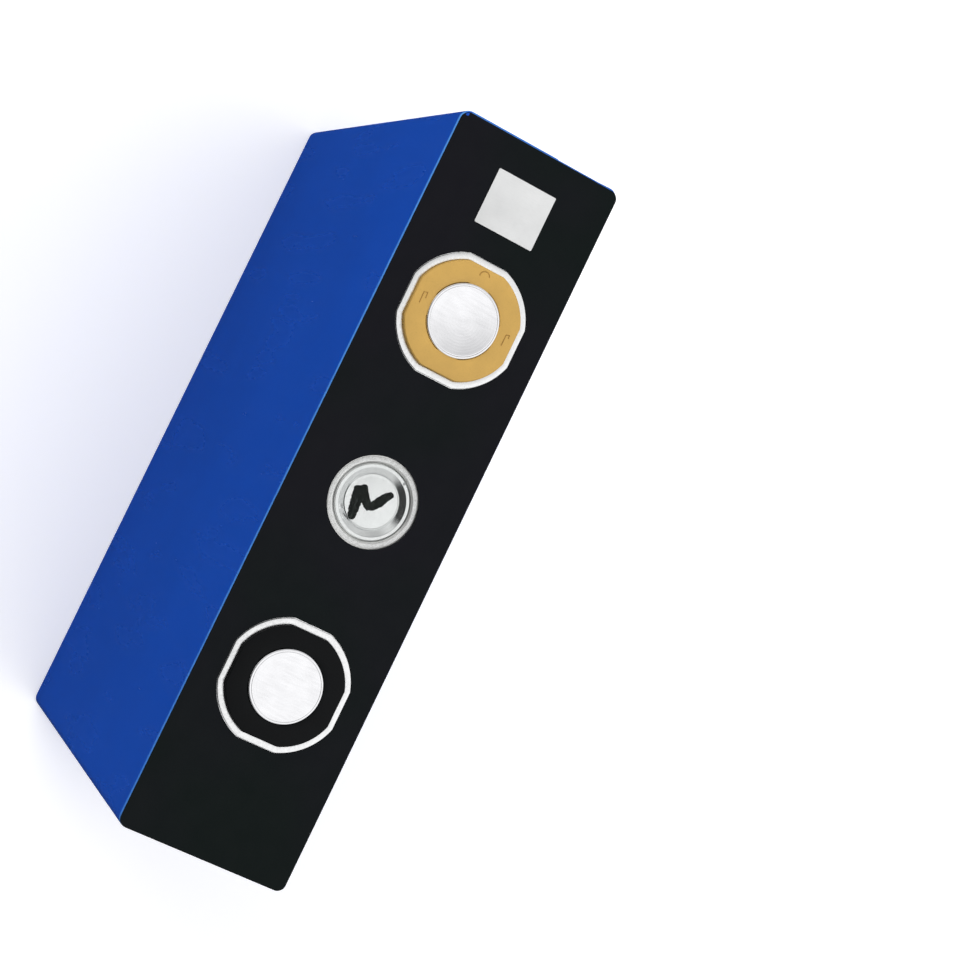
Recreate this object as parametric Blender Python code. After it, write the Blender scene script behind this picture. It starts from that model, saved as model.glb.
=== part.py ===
"""Prismatic lithium iron phosphate cell of 3.2 V and 100 Ah, as the stack of pieces that it is built from.

Frame: +X runs along the cover from the positive to the negative terminal, +Y through the thickness and
+Z up. The origin is the middle of the underside. The large face with -Y outwards is the front.
The cell has no moving piece: the cover is welded to the can, and the terminals are riveted and welded.
"""

import math

import bmesh
import bpy
from mathutils import Vector

MM = 0.001

# --- Driving dimensions -----------------------------------------------------------------------------------
LENGTH = 173.7 * MM  # over the film, along X
THICKNESS = 41.0 * MM  # over the film, along Y
BODY_HEIGHT = 140.0 * MM  # from the resting face to the top of the cover's black sheet
TERMINAL_PITCH = 89.3 * MM  # between the two terminal centres
TERMINAL_RISE = 1.6 * MM  # the terminal pads stand this far above the sheet
CORNER_RADIUS = 2.4 * MM  # the upright edges, over the film

GAP = 0.3 * MM  # between pieces that rest on or fit in each other
BOND = 0.1 * MM  # the adhesive under a bonded film

PATCH_THICK = 0.3 * MM
FILM_THICK = 0.2 * MM
SHEET_THICK = 0.3 * MM
CAN_WALL = 0.8 * MM
CAN_FLOOR = 1.5 * MM
CAN_FOOT_ROLL = 1.0 * MM  # the rolled edge between the can's floor and walls
FILM_BEND = 0.7 * MM  # the outer radius of the film's top and bottom bends

CORNER_STEPS = 5  # facets of a rounded upright edge
BEND_STEPS = 3  # facets of the film's bend
TURNED_STEPS = 36  # facets of a full circle
SMALL_STEPS = 24  # facets of the seals and of the pieces in the filling hole

# --- Heights, worked out from the dimensions above --------------------------------------------------------
FILM_BASE = PATCH_THICK + BOND
CAN_BASE = FILM_BASE + FILM_THICK + BOND
CAN_FLOOR_TOP = CAN_BASE + CAN_FLOOR

SHEET_BASE = BODY_HEIGHT - SHEET_THICK
HEM_TOP = SHEET_BASE - BOND
COVER_TOP = HEM_TOP - FILM_THICK - BOND
FLANGE_THICK = 1.0 * MM
COVER_CHAMFER = 0.3 * MM
SPIGOT_DEPTH = 1.2 * MM
FLANGE_BASE = COVER_TOP - FLANGE_THICK
COVER_BASE = FLANGE_BASE - SPIGOT_DEPTH
CAN_RIM = FLANGE_BASE - GAP
TERMINAL_TOP = BODY_HEIGHT + TERMINAL_RISE
CUT_MARGIN = 2.0 * MM  # a cutter runs this far past what it cuts

# --- Half sizes of the nested shells ----------------------------------------------------------------------
FILM_HALF = Vector((LENGTH / 2, THICKNESS / 2))
CAN_INSET = FILM_THICK + BOND
SLEEVE_INSET = CAN_INSET + CAN_WALL + GAP
SLEEVE_THICK = 0.2 * MM

# --- Terminals --------------------------------------------------------------------------------------------
TERMINAL_X = TERMINAL_PITCH / 2
COLLAR_RADIUS, COLLAR_FLAT = 15.0 * MM, 14.3 * MM
POCKET_RADIUS, POCKET_FLAT = 13.8 * MM, 13.1 * MM
INSULATOR_RADIUS, INSULATOR_FLAT = 13.5 * MM, 12.8 * MM
COLLAR_TOP = BODY_HEIGHT + 0.1 * MM
POCKET_FLOOR = COVER_TOP - 0.5 * MM
INSULATOR_BASE = POCKET_FLOOR + GAP
INSULATOR_WEB = 0.5 * MM  # the floor of the insulator's cup, under the pad
INSULATOR_TOP = TERMINAL_TOP - 0.3 * MM
INSULATOR_CHAMFER = 0.35 * MM
PAD_BASE = INSULATOR_BASE + INSULATOR_WEB + GAP
PAD_RADIUS = 8.45 * MM
PAD_CHAMFER = 0.3 * MM
POLE_RADIUS = 4.6 * MM
POLE_CHAMFER = 0.3 * MM
POLE_BORE = POLE_RADIUS + GAP  # the holes that the pole passes through
POLE_TOP = TERMINAL_TOP - 0.9 * MM
SEAL_RADIUS = POLE_BORE + 0.6 * MM
SEAL_FLANGE_RADIUS = 8.2 * MM
SEAL_FLANGE_THICK = 0.6 * MM
COVER_HOLE = SEAL_RADIUS + GAP
POLE_FLANGE_RADIUS = 9.0 * MM
POLE_FLANGE_THICK = 1.7 * MM
SEAL_BASE = COVER_BASE - GAP - SEAL_FLANGE_THICK
POLE_FLANGE_TOP = SEAL_BASE - GAP
POLE_FLANGE_BASE = POLE_FLANGE_TOP - POLE_FLANGE_THICK

# --- Vent and filling hole --------------------------------------------------------------------------------
VENT_SEAT_RADIUS = 9.0 * MM
VENT_SEAT_FLOOR = COVER_TOP - 1.0 * MM
VENT_BORE = 7.7 * MM
VENT_RADIUS = 8.75 * MM
VENT_TOP = COVER_TOP - 0.1 * MM
VENT_FLANGE_THICK = 0.6 * MM
VENT_FLANGE_INNER = 7.5 * MM
MEMBRANE_RADIUS = 6.4 * MM
MEMBRANE_TOP = COVER_TOP - 1.2 * MM
MEMBRANE_THICK = 0.25 * MM
SCORE_RADIUS = 5.4 * MM
SCORE_WIDTH = 0.3 * MM
SCORE_DEPTH = 0.1 * MM
VENT_WINDOW = 10.5 * MM  # the hole in the black sheet
VENT_FILM_RADIUS = 10.2 * MM
VENT_FILM_THICK = 0.15 * MM
VENT_WALL = 0.2 * MM  # how far the dished wall's underside stands inside its top

FILL_X = 22.0 * MM
FILL_BORE = 1.6 * MM
FILL_PATH = 2.5 * MM  # the hole in the plastic under the filling hole
PLUG_TIP = 1.0 * MM
PLUG_TIP_TAPER = 0.5 * MM
PLUG_REACH = 0.6 * MM  # how far the plug comes out under the cover
PLUG_HEAD = 0.4 * MM
PLUG_SEAT_RADIUS = 2.5 * MM
PLUG_SEAT_FLOOR = COVER_TOP - 1.4 * MM
CAP_SEAT_RADIUS = 4.3 * MM
CAP_SEAT_FLOOR = COVER_TOP - 0.6 * MM
CAP_TOP = COVER_TOP - 0.02 * MM

# --- Pieces on the cover ----------------------------------------------------------------------------------
SHEET_LOW = Vector((-86.3 * MM, -20.2 * MM))  # laid a little towards +X and +Y, as hand work leaves it
SHEET_HIGH = Vector((86.7 * MM, 20.4 * MM))
SHEET_CORNER = 2.0 * MM
HEM_WIDTH = 3.0 * MM
FOOT_HEM_WIDTH = 12.0 * MM
LABEL_CENTRE = Vector((-72.1 * MM, 0.0))
LABEL_HALF = Vector((6.55 * MM, 7.4 * MM))
LABEL_THICK = 0.1 * MM
LABEL_CORNER = 0.3 * MM
WINDOW_MARGIN = 0.2 * MM  # from a collar to the edge of its window in the sheet

# --- Inside -----------------------------------------------------------------------------------------------
LOWER_TOP = COVER_BASE - GAP  # the plastic under the cover
LOWER_WEB = 2.0 * MM
LOWER_SKIRT = 4.0 * MM
LOWER_RIM = 1.2 * MM
LOWER_CORNER = 1.5 * MM
LOWER_INNER_CORNER = 0.5 * MM
LOWER_HALF_Y = 18.0 * MM
LOWER_END_X = 84.0 * MM
LOWER_SPLIT_X = 13.7 * MM
GRID_SLOTS = 5
GRID_PITCH = 2.8 * MM
SLOT_HALF = Vector((0.8 * MM, 5.0 * MM))
SLOT_CORNER = 0.4 * MM
POLE_HOLE_MARGIN = 0.4 * MM

CONNECTOR_TOP = POLE_FLANGE_BASE - GAP
CONNECTOR_THICK = 1.4 * MM
CONNECTOR_HALF = Vector((25.0 * MM, 15.0 * MM))
CONNECTOR_BASE = CONNECTOR_TOP - CONNECTOR_THICK
WELD_RECESS_RADIUS = 7.5 * MM
WELD_RECESS_DEPTH = 0.6 * MM
FUSE_SLOT_HALF = Vector((1.2 * MM, 4.5 * MM))
FUSE_SLOT_CORNER = 0.8 * MM
FUSE_SLOT_MARGIN = 4.0 * MM  # from the weld spot's edge to a slot's middle
CONNECTOR_CORNER = 3.0 * MM

TAB_THICK = 0.6 * MM
TAB_TOP = CONNECTOR_BASE - GAP
TAB_HALF_X = 22.0 * MM
TAB_LEG_Y = 13.0 * MM
TAB_TIP_Y = 2.5 * MM
TAB_BEND = 1.4 * MM
TAPE_THICK = 0.2 * MM
TAPE_HALF = Vector((23.0 * MM, 11.0 * MM))
TAPE_CORNER = 0.5 * MM

SLEEVE_BASE = CAN_FLOOR_TOP + GAP
SLEEVE_TOP = BODY_HEIGHT - 9.0 * MM
TRAY_BASE = SLEEVE_BASE + SLEEVE_THICK + GAP
TRAY_THICK = 1.0 * MM
TRAY_HALF = Vector((84.0 * MM, 18.2 * MM))
TRAY_CORNER = 1.5 * MM
TRAY_HOLE = 2.5 * MM
TRAY_HOLE_PITCH = 40.0 * MM
ROLL_BASE = TRAY_BASE + TRAY_THICK + GAP
ROLL_HEIGHT = BODY_HEIGHT - 17.0 * MM
ROLL_HALF_X = 83.5 * MM
ROLL_RADIUS = 8.85 * MM
ROLL_Y = ROLL_RADIUS + 0.2 * MM
ROLL_CORE_HALF_X = 72.0 * MM
ROLL_CORE_RADIUS = 0.6 * MM
ROLL_TOP = ROLL_BASE + ROLL_HEIGHT
ROLL_TAPE_THICK = 0.1 * MM
ROLL_TAPE_HALF_X = 14.0 * MM
ROLL_TAPE_MARGIN = 6.0 * MM


# --- Scene and materials ----------------------------------------------------------------------------------
def clear_scene():
    """Removes every object that the file opened with."""
    for thing in list(bpy.data.objects):
        bpy.data.objects.remove(thing)


def material(name, colour, roughness, metallic=0.0, alpha=1.0):
    """A Principled material of one colour, given in linear light."""
    made = bpy.data.materials.new(name)
    made.use_nodes = True
    shader = made.node_tree.nodes["Principled BSDF"]
    shader.inputs["Base Color"].default_value = (*colour, 1.0)
    shader.inputs["Roughness"].default_value = roughness
    shader.inputs["Metallic"].default_value = metallic
    shader.inputs["Alpha"].default_value = alpha
    made.diffuse_color = (*colour, alpha)
    return made


def palette():
    """Each material that the cell's pieces share, by name."""
    return {
        "can_aluminium": material("can_aluminium", (0.72, 0.73, 0.74), 0.35, 1.0),
        "cover_aluminium": material("cover_aluminium", (0.80, 0.81, 0.82), 0.32, 1.0),
        "terminal_aluminium": material("terminal_aluminium", (0.88, 0.88, 0.89), 0.2, 1.0),
        "copper": material("copper", (0.75, 0.35, 0.2), 0.3, 1.0),
        "blue_film": material("blue_film", (0.006, 0.048, 0.29), 0.35),
        "black_sheet": material("black_sheet", (0.011, 0.012, 0.013), 0.45),
        "label_paper": material("label_paper", (0.73, 0.73, 0.73), 0.6),
        "tan_plastic": material("tan_plastic", (0.58, 0.36, 0.09), 0.45),
        "black_plastic": material("black_plastic", (0.012, 0.012, 0.013), 0.4),
        "clear_film": material("clear_film", (0.9, 0.92, 0.92), 0.1, 0.0, 0.3),
        "seal_rubber": material("seal_rubber", (0.03, 0.03, 0.03), 0.7),
        "white_plastic": material("white_plastic", (0.8, 0.8, 0.78), 0.5),
        "separator": material("separator", (0.75, 0.76, 0.74), 0.6),
        "amber_tape": material("amber_tape", (0.55, 0.25, 0.03), 0.3),
        "green_tape": material("green_tape", (0.03, 0.3, 0.16), 0.35),
    }


# --- Outlines, as lists of points that run anticlockwise --------------------------------------------------
def arc(centre, radius, start, end, steps):
    """Points on an arc, both ends included, with the angles in radians."""
    turn = [start + (end - start) * i / steps for i in range(steps + 1)]
    return [(centre[0] + radius * math.cos(a), centre[1] + radius * math.sin(a)) for a in turn]


def rounded_rectangle(half, radius, centre=(0.0, 0.0), steps=CORNER_STEPS):
    """A rectangle with round corners, from its half sizes."""
    points = []
    for quarter, (side_x, side_y) in enumerate(((1, 1), (-1, 1), (-1, -1), (1, -1))):
        corner = (centre[0] + side_x * (half[0] - radius), centre[1] + side_y * (half[1] - radius))
        start = quarter * math.pi / 2
        points += arc(corner, radius, start, start + math.pi / 2, steps)
    return points


def circle(radius, centre=(0.0, 0.0), steps=TURNED_STEPS):
    """A full circle."""
    return arc(centre, radius, 0.0, 2 * math.pi, steps)[:-1]


def flatted_circle(radius, flat, centre=(0.0, 0.0), steps=6):
    """A circle cut by four flats, each at the distance flat from the centre, that stop it turning."""
    shy = math.acos(flat / radius)
    points = []
    for quarter in range(4):
        start = quarter * math.pi / 2
        points += arc(centre, radius, start + shy, start + math.pi / 2 - shy, steps)
    return points


def racetrack(half_length, radius, centre=(0.0, 0.0), steps=16):
    """Two half circles joined by straight sides, long along X."""
    reach = half_length - radius
    right = arc((centre[0] + reach, centre[1]), radius, -math.pi / 2, math.pi / 2, steps)
    left = arc((centre[0] - reach, centre[1]), radius, math.pi / 2, 3 * math.pi / 2, steps)
    return right + left


def nested_outline(inset):
    """The cell's own outline, this far inside the film's outer face."""
    radius = max(CORNER_RADIUS - inset, 0.4 * MM)
    return rounded_rectangle(FILM_HALF - Vector((inset, inset)), radius)


# --- Solids -----------------------------------------------------------------------------------------------
def finish(name, bm, finish_material, smooth=True):
    """Turns a bmesh into the named object, with its faces pointing out."""
    bmesh.ops.recalc_face_normals(bm, faces=bm.faces)
    mesh = bpy.data.meshes.new(name)
    bm.to_mesh(mesh)
    bm.free()
    if smooth:
        mesh.shade_smooth()
        mesh.set_sharp_from_angle(angle=math.radians(30))
    if finish_material is not None:
        mesh.materials.append(finish_material)
    made = bpy.data.objects.new(name, mesh)
    bpy.context.scene.collection.objects.link(made)
    return made


def loft(name, rings, finish_material=None, looped=False):
    """A solid through rings of equal point counts, each (outline, height), in order along its surface.

    The first and the last ring are closed with a face, or joined to each other if looped.
    """
    bm = bmesh.new()
    rows = [[bm.verts.new((x, y, z)) for x, y in outline] for outline, z in rings]
    count = len(rows[0])
    pairs = list(zip(rows, rows[1:]))
    if looped:
        pairs.append((rows[-1], rows[0]))
    else:
        bm.faces.new(rows[0])
        bm.faces.new(rows[-1])
    for low, high in pairs:
        for i in range(count):
            after = (i + 1) % count
            bm.faces.new((low[i], low[after], high[after], high[i]))
    return finish(name, bm, finish_material)


def plate(name, outline, base, top, finish_material=None, holes=()):
    """A flat plate between two heights, with holes of any outline through it."""
    bm = bmesh.new()
    edges = []
    for points in (outline, *holes):
        ring = [bm.verts.new((x, y, base)) for x, y in points]
        edges += [bm.edges.new((ring[i - 1], ring[i])) for i in range(len(ring))]
    filled = bmesh.ops.triangle_fill(bm, use_beauty=True, edges=edges, normal=(0, 0, 1))
    faces = [item for item in filled["geom"] if isinstance(item, bmesh.types.BMFace)]
    raised = bmesh.ops.extrude_face_region(bm, geom=faces)
    lifted = [item for item in raised["geom"] if isinstance(item, bmesh.types.BMVert)]
    bmesh.ops.translate(bm, verts=lifted, vec=(0, 0, top - base))
    return finish(name, bm, finish_material)


def turned(name, profile, centre_x=0.0, finish_material=None, ring=False, steps=TURNED_STEPS):
    """A solid of revolution about the upright line at centre_x, from (radius, height) points.

    A ring's profile is a closed loop off the axis. Any other profile starts and ends on the axis.
    """
    bm = bmesh.new()
    verts = [bm.verts.new((radius, 0, z)) for radius, z in profile]
    edges = [bm.edges.new(pair) for pair in zip(verts, verts[1:])]
    if ring:
        edges.append(bm.edges.new((verts[-1], verts[0])))
    bmesh.ops.spin(
        bm, geom=verts + edges, cent=(0, 0, 0), axis=(0, 0, 1), steps=steps, angle=2 * math.pi
    )
    bmesh.ops.remove_doubles(bm, verts=bm.verts, dist=0.001 * MM)
    bmesh.ops.translate(bm, verts=bm.verts, vec=(centre_x, 0, 0))
    return finish(name, bm, finish_material)


def cylinder_cutter(name, radius, base, top, centre_x=0.0):
    """A helper that cuts a round hole."""
    return turned(name, [(0, base), (radius, base), (radius, top), (0, top)], centre_x)


def combine(target, helper, operation="DIFFERENCE"):
    """Cuts helper from target, or joins it on, and keeps helper out of the model."""
    helper.hide_render = True
    helper.display_type = "WIRE"
    modifier = target.modifiers.new(helper.name, "BOOLEAN")
    modifier.operation = operation
    modifier.object = helper


def terminal_x(sign):
    """The X of a terminal: the positive one is at -X."""
    return -TERMINAL_X if sign == "positive" else TERMINAL_X


# --- Outer shells -----------------------------------------------------------------------------------------
def build_can(finishes):
    """The drawn aluminium can: an open box with a rolled foot edge."""
    foot = CAN_FOOT_ROLL
    inner = CAN_INSET + CAN_WALL
    rings = [
        (nested_outline(CAN_INSET + foot), CAN_BASE),
        (nested_outline(CAN_INSET + 0.3 * foot), CAN_BASE + 0.3 * foot),
        (nested_outline(CAN_INSET), CAN_BASE + foot),
        (nested_outline(CAN_INSET), CAN_RIM),
        (nested_outline(inner), CAN_RIM),
        (nested_outline(inner), CAN_FLOOR_TOP),
    ]
    loft("can", rings, finishes["can_aluminium"])


def build_wrap_film(finishes):
    """The blue film: a tube round the can whose hems fold over the cover and under the foot."""
    bend = FILM_BEND
    skin = FILM_THICK
    quarter = [i * math.pi / 2 / BEND_STEPS for i in range(BEND_STEPS + 1)]
    rings = []
    for a in reversed(quarter):
        inset = bend * (1 - math.cos(a))
        rings.append((nested_outline(inset), FILM_BASE + bend * (1 - math.sin(a))))
    for a in quarter:
        inset = bend * (1 - math.cos(a))
        rings.append((nested_outline(inset), HEM_TOP - bend * (1 - math.sin(a))))
    rings.append((nested_outline(HEM_WIDTH), HEM_TOP))
    rings.append((nested_outline(HEM_WIDTH), HEM_TOP - skin))
    for a in reversed(quarter):
        inset = skin + (bend - skin) * (1 - math.cos(a))
        rings.append((nested_outline(inset), HEM_TOP - skin - (bend - skin) * (1 - math.sin(a))))
    for a in quarter:
        inset = skin + (bend - skin) * (1 - math.cos(a))
        rings.append((nested_outline(inset), FILM_BASE + skin + (bend - skin) * (1 - math.sin(a))))
    rings.append((nested_outline(FOOT_HEM_WIDTH), FILM_BASE + skin))
    rings.append((nested_outline(FOOT_HEM_WIDTH), FILM_BASE))
    loft("wrap_film", rings, finishes["blue_film"], looped=True)


def build_bottom_patch(finishes):
    """The blue insulating sheet bonded under the folded film, on which the cell stands."""
    outline = nested_outline(0.8 * MM)
    plate("bottom_patch", outline, 0.0, PATCH_THICK, finishes["blue_film"])


def build_top_sheet(finishes):
    """The black insulating sheet on the cover, open round both terminals and the vent."""
    centre = (SHEET_LOW + SHEET_HIGH) / 2
    half = (SHEET_HIGH - SHEET_LOW) / 2
    windows = [circle(VENT_WINDOW)]
    for sign in ("positive", "negative"):
        radius, flat = COLLAR_RADIUS + WINDOW_MARGIN, COLLAR_FLAT + WINDOW_MARGIN
        windows.append(flatted_circle(radius, flat, (terminal_x(sign), 0.0)))
    outline = rounded_rectangle(half, SHEET_CORNER, centre)
    plate("top_sheet", outline, SHEET_BASE, BODY_HEIGHT, finishes["black_sheet"], windows)


def build_code_label(finishes):
    """The blank square label beside the positive terminal."""
    outline = rounded_rectangle(LABEL_HALF, LABEL_CORNER, LABEL_CENTRE, steps=2)
    base = BODY_HEIGHT + BOND
    plate("code_label", outline, base, base + LABEL_THICK, finishes["label_paper"])


# --- Cover, vent and filling hole -------------------------------------------------------------------------
def build_cover_plate(finishes):
    """The aluminium cover: a flange on the can's rim, a spigot inside it, and a collar at each terminal."""
    spigot_inset = CAN_INSET + CAN_WALL + GAP
    chamfer = COVER_CHAMFER
    rings = [
        (nested_outline(spigot_inset + chamfer), COVER_BASE),
        (nested_outline(spigot_inset), COVER_BASE + chamfer),
        (nested_outline(spigot_inset), FLANGE_BASE),
        (nested_outline(CAN_INSET), FLANGE_BASE),
        (nested_outline(CAN_INSET), COVER_TOP - chamfer),
        (nested_outline(CAN_INSET + chamfer), COVER_TOP),
    ]
    cover = loft("cover_plate", rings, finishes["cover_aluminium"])
    above = BODY_HEIGHT + CUT_MARGIN
    below = COVER_BASE - CUT_MARGIN
    for sign in ("positive", "negative"):
        x = terminal_x(sign)
        outer = flatted_circle(COLLAR_RADIUS, COLLAR_FLAT, (x, 0.0))
        collar = loft(f"{sign}_collar", [(outer, FLANGE_BASE + 0.2 * MM), (outer, COLLAR_TOP)])
        combine(cover, collar, "UNION")
        inner = flatted_circle(POCKET_RADIUS, POCKET_FLAT, (x, 0.0))
        pocket = loft(f"{sign}_pocket", [(inner, POCKET_FLOOR), (inner, above)])
        combine(cover, pocket)
        combine(cover, cylinder_cutter(f"{sign}_hole", COVER_HOLE, below, above, x))
    combine(cover, cylinder_cutter("vent_seat", VENT_SEAT_RADIUS, VENT_SEAT_FLOOR, above))
    combine(cover, cylinder_cutter("vent_bore", VENT_BORE, below, above))
    stepped = [
        (0, below),
        (FILL_BORE, below),
        (FILL_BORE, PLUG_SEAT_FLOOR),
        (PLUG_SEAT_RADIUS, PLUG_SEAT_FLOOR),
        (PLUG_SEAT_RADIUS, CAP_SEAT_FLOOR),
        (CAP_SEAT_RADIUS, CAP_SEAT_FLOOR),
        (CAP_SEAT_RADIUS, above),
        (0, above),
    ]
    combine(cover, turned("fill_bore", stepped, FILL_X, steps=SMALL_STEPS))


def build_vent_disc(finishes):
    """The bursting disc, dished below its welded flange and scored in a ring."""
    under = VENT_TOP - VENT_FLANGE_THICK
    wall = VENT_WALL
    floor = MEMBRANE_TOP - MEMBRANE_THICK
    profile = [
        (0, floor),
        (MEMBRANE_RADIUS - wall, floor),
        (VENT_FLANGE_INNER - wall, under),
        (VENT_RADIUS, under),
        (VENT_RADIUS, VENT_TOP),
        (VENT_FLANGE_INNER, VENT_TOP),
        (MEMBRANE_RADIUS, MEMBRANE_TOP),
        (SCORE_RADIUS + SCORE_WIDTH, MEMBRANE_TOP),
        (SCORE_RADIUS + SCORE_WIDTH / 2, MEMBRANE_TOP - SCORE_DEPTH),
        (SCORE_RADIUS, MEMBRANE_TOP),
        (0, MEMBRANE_TOP),
    ]
    turned("vent_disc", profile, 0.0, finishes["cover_aluminium"])


def build_vent_film(finishes):
    """The clear round film that keeps dirt off the vent until it opens."""
    base = COVER_TOP + BOND
    plate("vent_film", circle(VENT_FILM_RADIUS), base, base + VENT_FILM_THICK, finishes["clear_film"])


def build_fill_plug(finishes):
    """The rubber pin pressed into the filling hole."""
    head_base = PLUG_SEAT_FLOOR + GAP
    head_top = head_base + PLUG_HEAD
    tip = COVER_BASE - PLUG_REACH
    profile = [
        (0, tip),
        (PLUG_TIP, tip),
        (FILL_BORE - GAP, tip + PLUG_TIP_TAPER),
        (FILL_BORE - GAP, head_base),
        (PLUG_SEAT_RADIUS - GAP, head_base),
        (PLUG_SEAT_RADIUS - GAP, head_top),
        (0, head_top),
    ]
    turned("fill_plug", profile, FILL_X, finishes["seal_rubber"], steps=SMALL_STEPS)


def build_fill_cap(finishes):
    """The aluminium disc welded over the plug."""
    base = CAP_SEAT_FLOOR + GAP
    radius = CAP_SEAT_RADIUS - GAP
    profile = [(0, base), (radius, base), (radius, CAP_TOP), (0, CAP_TOP)]
    turned("fill_cap", profile, FILL_X, finishes["cover_aluminium"])


# --- Terminals --------------------------------------------------------------------------------------------
def build_insulator(sign, finish_material):
    """The cup of plastic round a terminal pad, keyed by four flats in the cover's pocket."""
    x = terminal_x(sign)
    chamfer = INSULATOR_CHAMFER
    outer = flatted_circle(INSULATOR_RADIUS, INSULATOR_FLAT, (x, 0.0))
    top = flatted_circle(INSULATOR_RADIUS - chamfer, INSULATOR_FLAT - chamfer, (x, 0.0))
    rings = [(outer, INSULATOR_BASE), (outer, INSULATOR_TOP - chamfer), (top, INSULATOR_TOP)]
    cup = loft(f"{sign}_insulator", rings, finish_material)
    above = TERMINAL_TOP + CUT_MARGIN
    floor = INSULATOR_BASE + INSULATOR_WEB
    combine(cup, cylinder_cutter(f"{sign}_cup", PAD_RADIUS + GAP, floor, above, x))
    below = INSULATOR_BASE - CUT_MARGIN
    combine(cup, cylinder_cutter(f"{sign}_cup_hole", POLE_BORE, below, above, x))


def build_terminal_pad(sign, finish_material):
    """The round pad that a busbar is welded to, with a blind socket for the pole."""
    socket_top = POLE_TOP + GAP
    profile = [
        (0, socket_top),
        (POLE_BORE, socket_top),
        (POLE_BORE, PAD_BASE),
        (PAD_RADIUS, PAD_BASE),
        (PAD_RADIUS, TERMINAL_TOP - PAD_CHAMFER),
        (PAD_RADIUS - PAD_CHAMFER, TERMINAL_TOP),
        (0, TERMINAL_TOP),
    ]
    turned(f"{sign}_terminal_pad", profile, terminal_x(sign), finish_material)


def build_pole(sign, finish_material):
    """The rivet-like pole through the cover, with its flange under the seal."""
    profile = [
        (0, POLE_FLANGE_BASE),
        (POLE_FLANGE_RADIUS, POLE_FLANGE_BASE),
        (POLE_FLANGE_RADIUS, POLE_FLANGE_TOP),
        (POLE_RADIUS, POLE_FLANGE_TOP),
        (POLE_RADIUS, POLE_TOP - POLE_CHAMFER),
        (POLE_RADIUS - POLE_CHAMFER, POLE_TOP),
        (0, POLE_TOP),
    ]
    turned(f"{sign}_pole", profile, terminal_x(sign), finish_material)


def build_seal(sign, finishes):
    """The rubber seal: a sleeve round the pole and a flange squeezed under the cover."""
    flange_top = SEAL_BASE + SEAL_FLANGE_THICK
    sleeve_top = POCKET_FLOOR - 0.2 * MM
    profile = [
        (POLE_BORE, SEAL_BASE),
        (SEAL_FLANGE_RADIUS, SEAL_BASE),
        (SEAL_FLANGE_RADIUS, flange_top),
        (SEAL_RADIUS, flange_top),
        (SEAL_RADIUS, sleeve_top),
        (POLE_BORE, sleeve_top),
    ]
    turned(f"{sign}_seal", profile, terminal_x(sign), finishes["seal_rubber"], ring=True, steps=SMALL_STEPS)


# --- Current path under the cover -------------------------------------------------------------------------
def build_lower_insulator(sign, finishes):
    """One half of the plastic tray under the cover. The positive half also guards the vent."""
    if sign == "positive":
        low, high = -LOWER_END_X, LOWER_SPLIT_X - GAP
    else:
        low, high = LOWER_SPLIT_X, LOWER_END_X
    centre = ((low + high) / 2, 0.0)
    half = Vector(((high - low) / 2, LOWER_HALF_Y))
    inside = half - Vector((LOWER_RIM, LOWER_RIM))
    outer = rounded_rectangle(half, LOWER_CORNER, centre)
    inner = rounded_rectangle(inside, LOWER_INNER_CORNER, centre)
    skirt_base = LOWER_TOP - LOWER_SKIRT
    rings = [
        (outer, LOWER_TOP),
        (outer, skirt_base),
        (inner, skirt_base),
        (inner, LOWER_TOP - LOWER_WEB),
    ]
    tray = loft(f"{sign}_lower_insulator", rings, finishes["white_plastic"])
    below, above = skirt_base - CUT_MARGIN, LOWER_TOP + CUT_MARGIN
    pole_hole = POLE_FLANGE_RADIUS + POLE_HOLE_MARGIN
    combine(tray, cylinder_cutter(f"{sign}_pole_hole", pole_hole, below, above, terminal_x(sign)))
    if sign == "positive":
        for i in range(GRID_SLOTS):
            x = (i - (GRID_SLOTS - 1) / 2) * GRID_PITCH
            outline = rounded_rectangle(SLOT_HALF, SLOT_CORNER, (x, 0.0), steps=2)
            combine(tray, loft(f"vent_slot_{i + 1}", [(outline, below), (outline, above)]))
    else:
        combine(tray, cylinder_cutter("fill_path", FILL_PATH, below, above, FILL_X))


def build_connector(sign, finish_material):
    """The plate between a pole and the foil tabs, with fuse slots and a thinned weld spot."""
    x = terminal_x(sign)
    outline = rounded_rectangle(CONNECTOR_HALF, CONNECTOR_CORNER, (x, 0.0), steps=4)
    slots = []
    for side in (-1, 1):
        slot_x = x + side * (WELD_RECESS_RADIUS + FUSE_SLOT_MARGIN)
        slots.append(rounded_rectangle(FUSE_SLOT_HALF, FUSE_SLOT_CORNER, (slot_x, 0.0), steps=3))
    name = f"{sign}_connector"
    connector = plate(name, outline, CONNECTOR_BASE, CONNECTOR_TOP, finish_material, slots)
    recess_base = CONNECTOR_BASE - CUT_MARGIN
    recess_top = CONNECTOR_BASE + WELD_RECESS_DEPTH
    recess = cylinder_cutter(f"{sign}_weld_recess", WELD_RECESS_RADIUS, recess_base, recess_top, x)
    combine(connector, recess)


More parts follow.
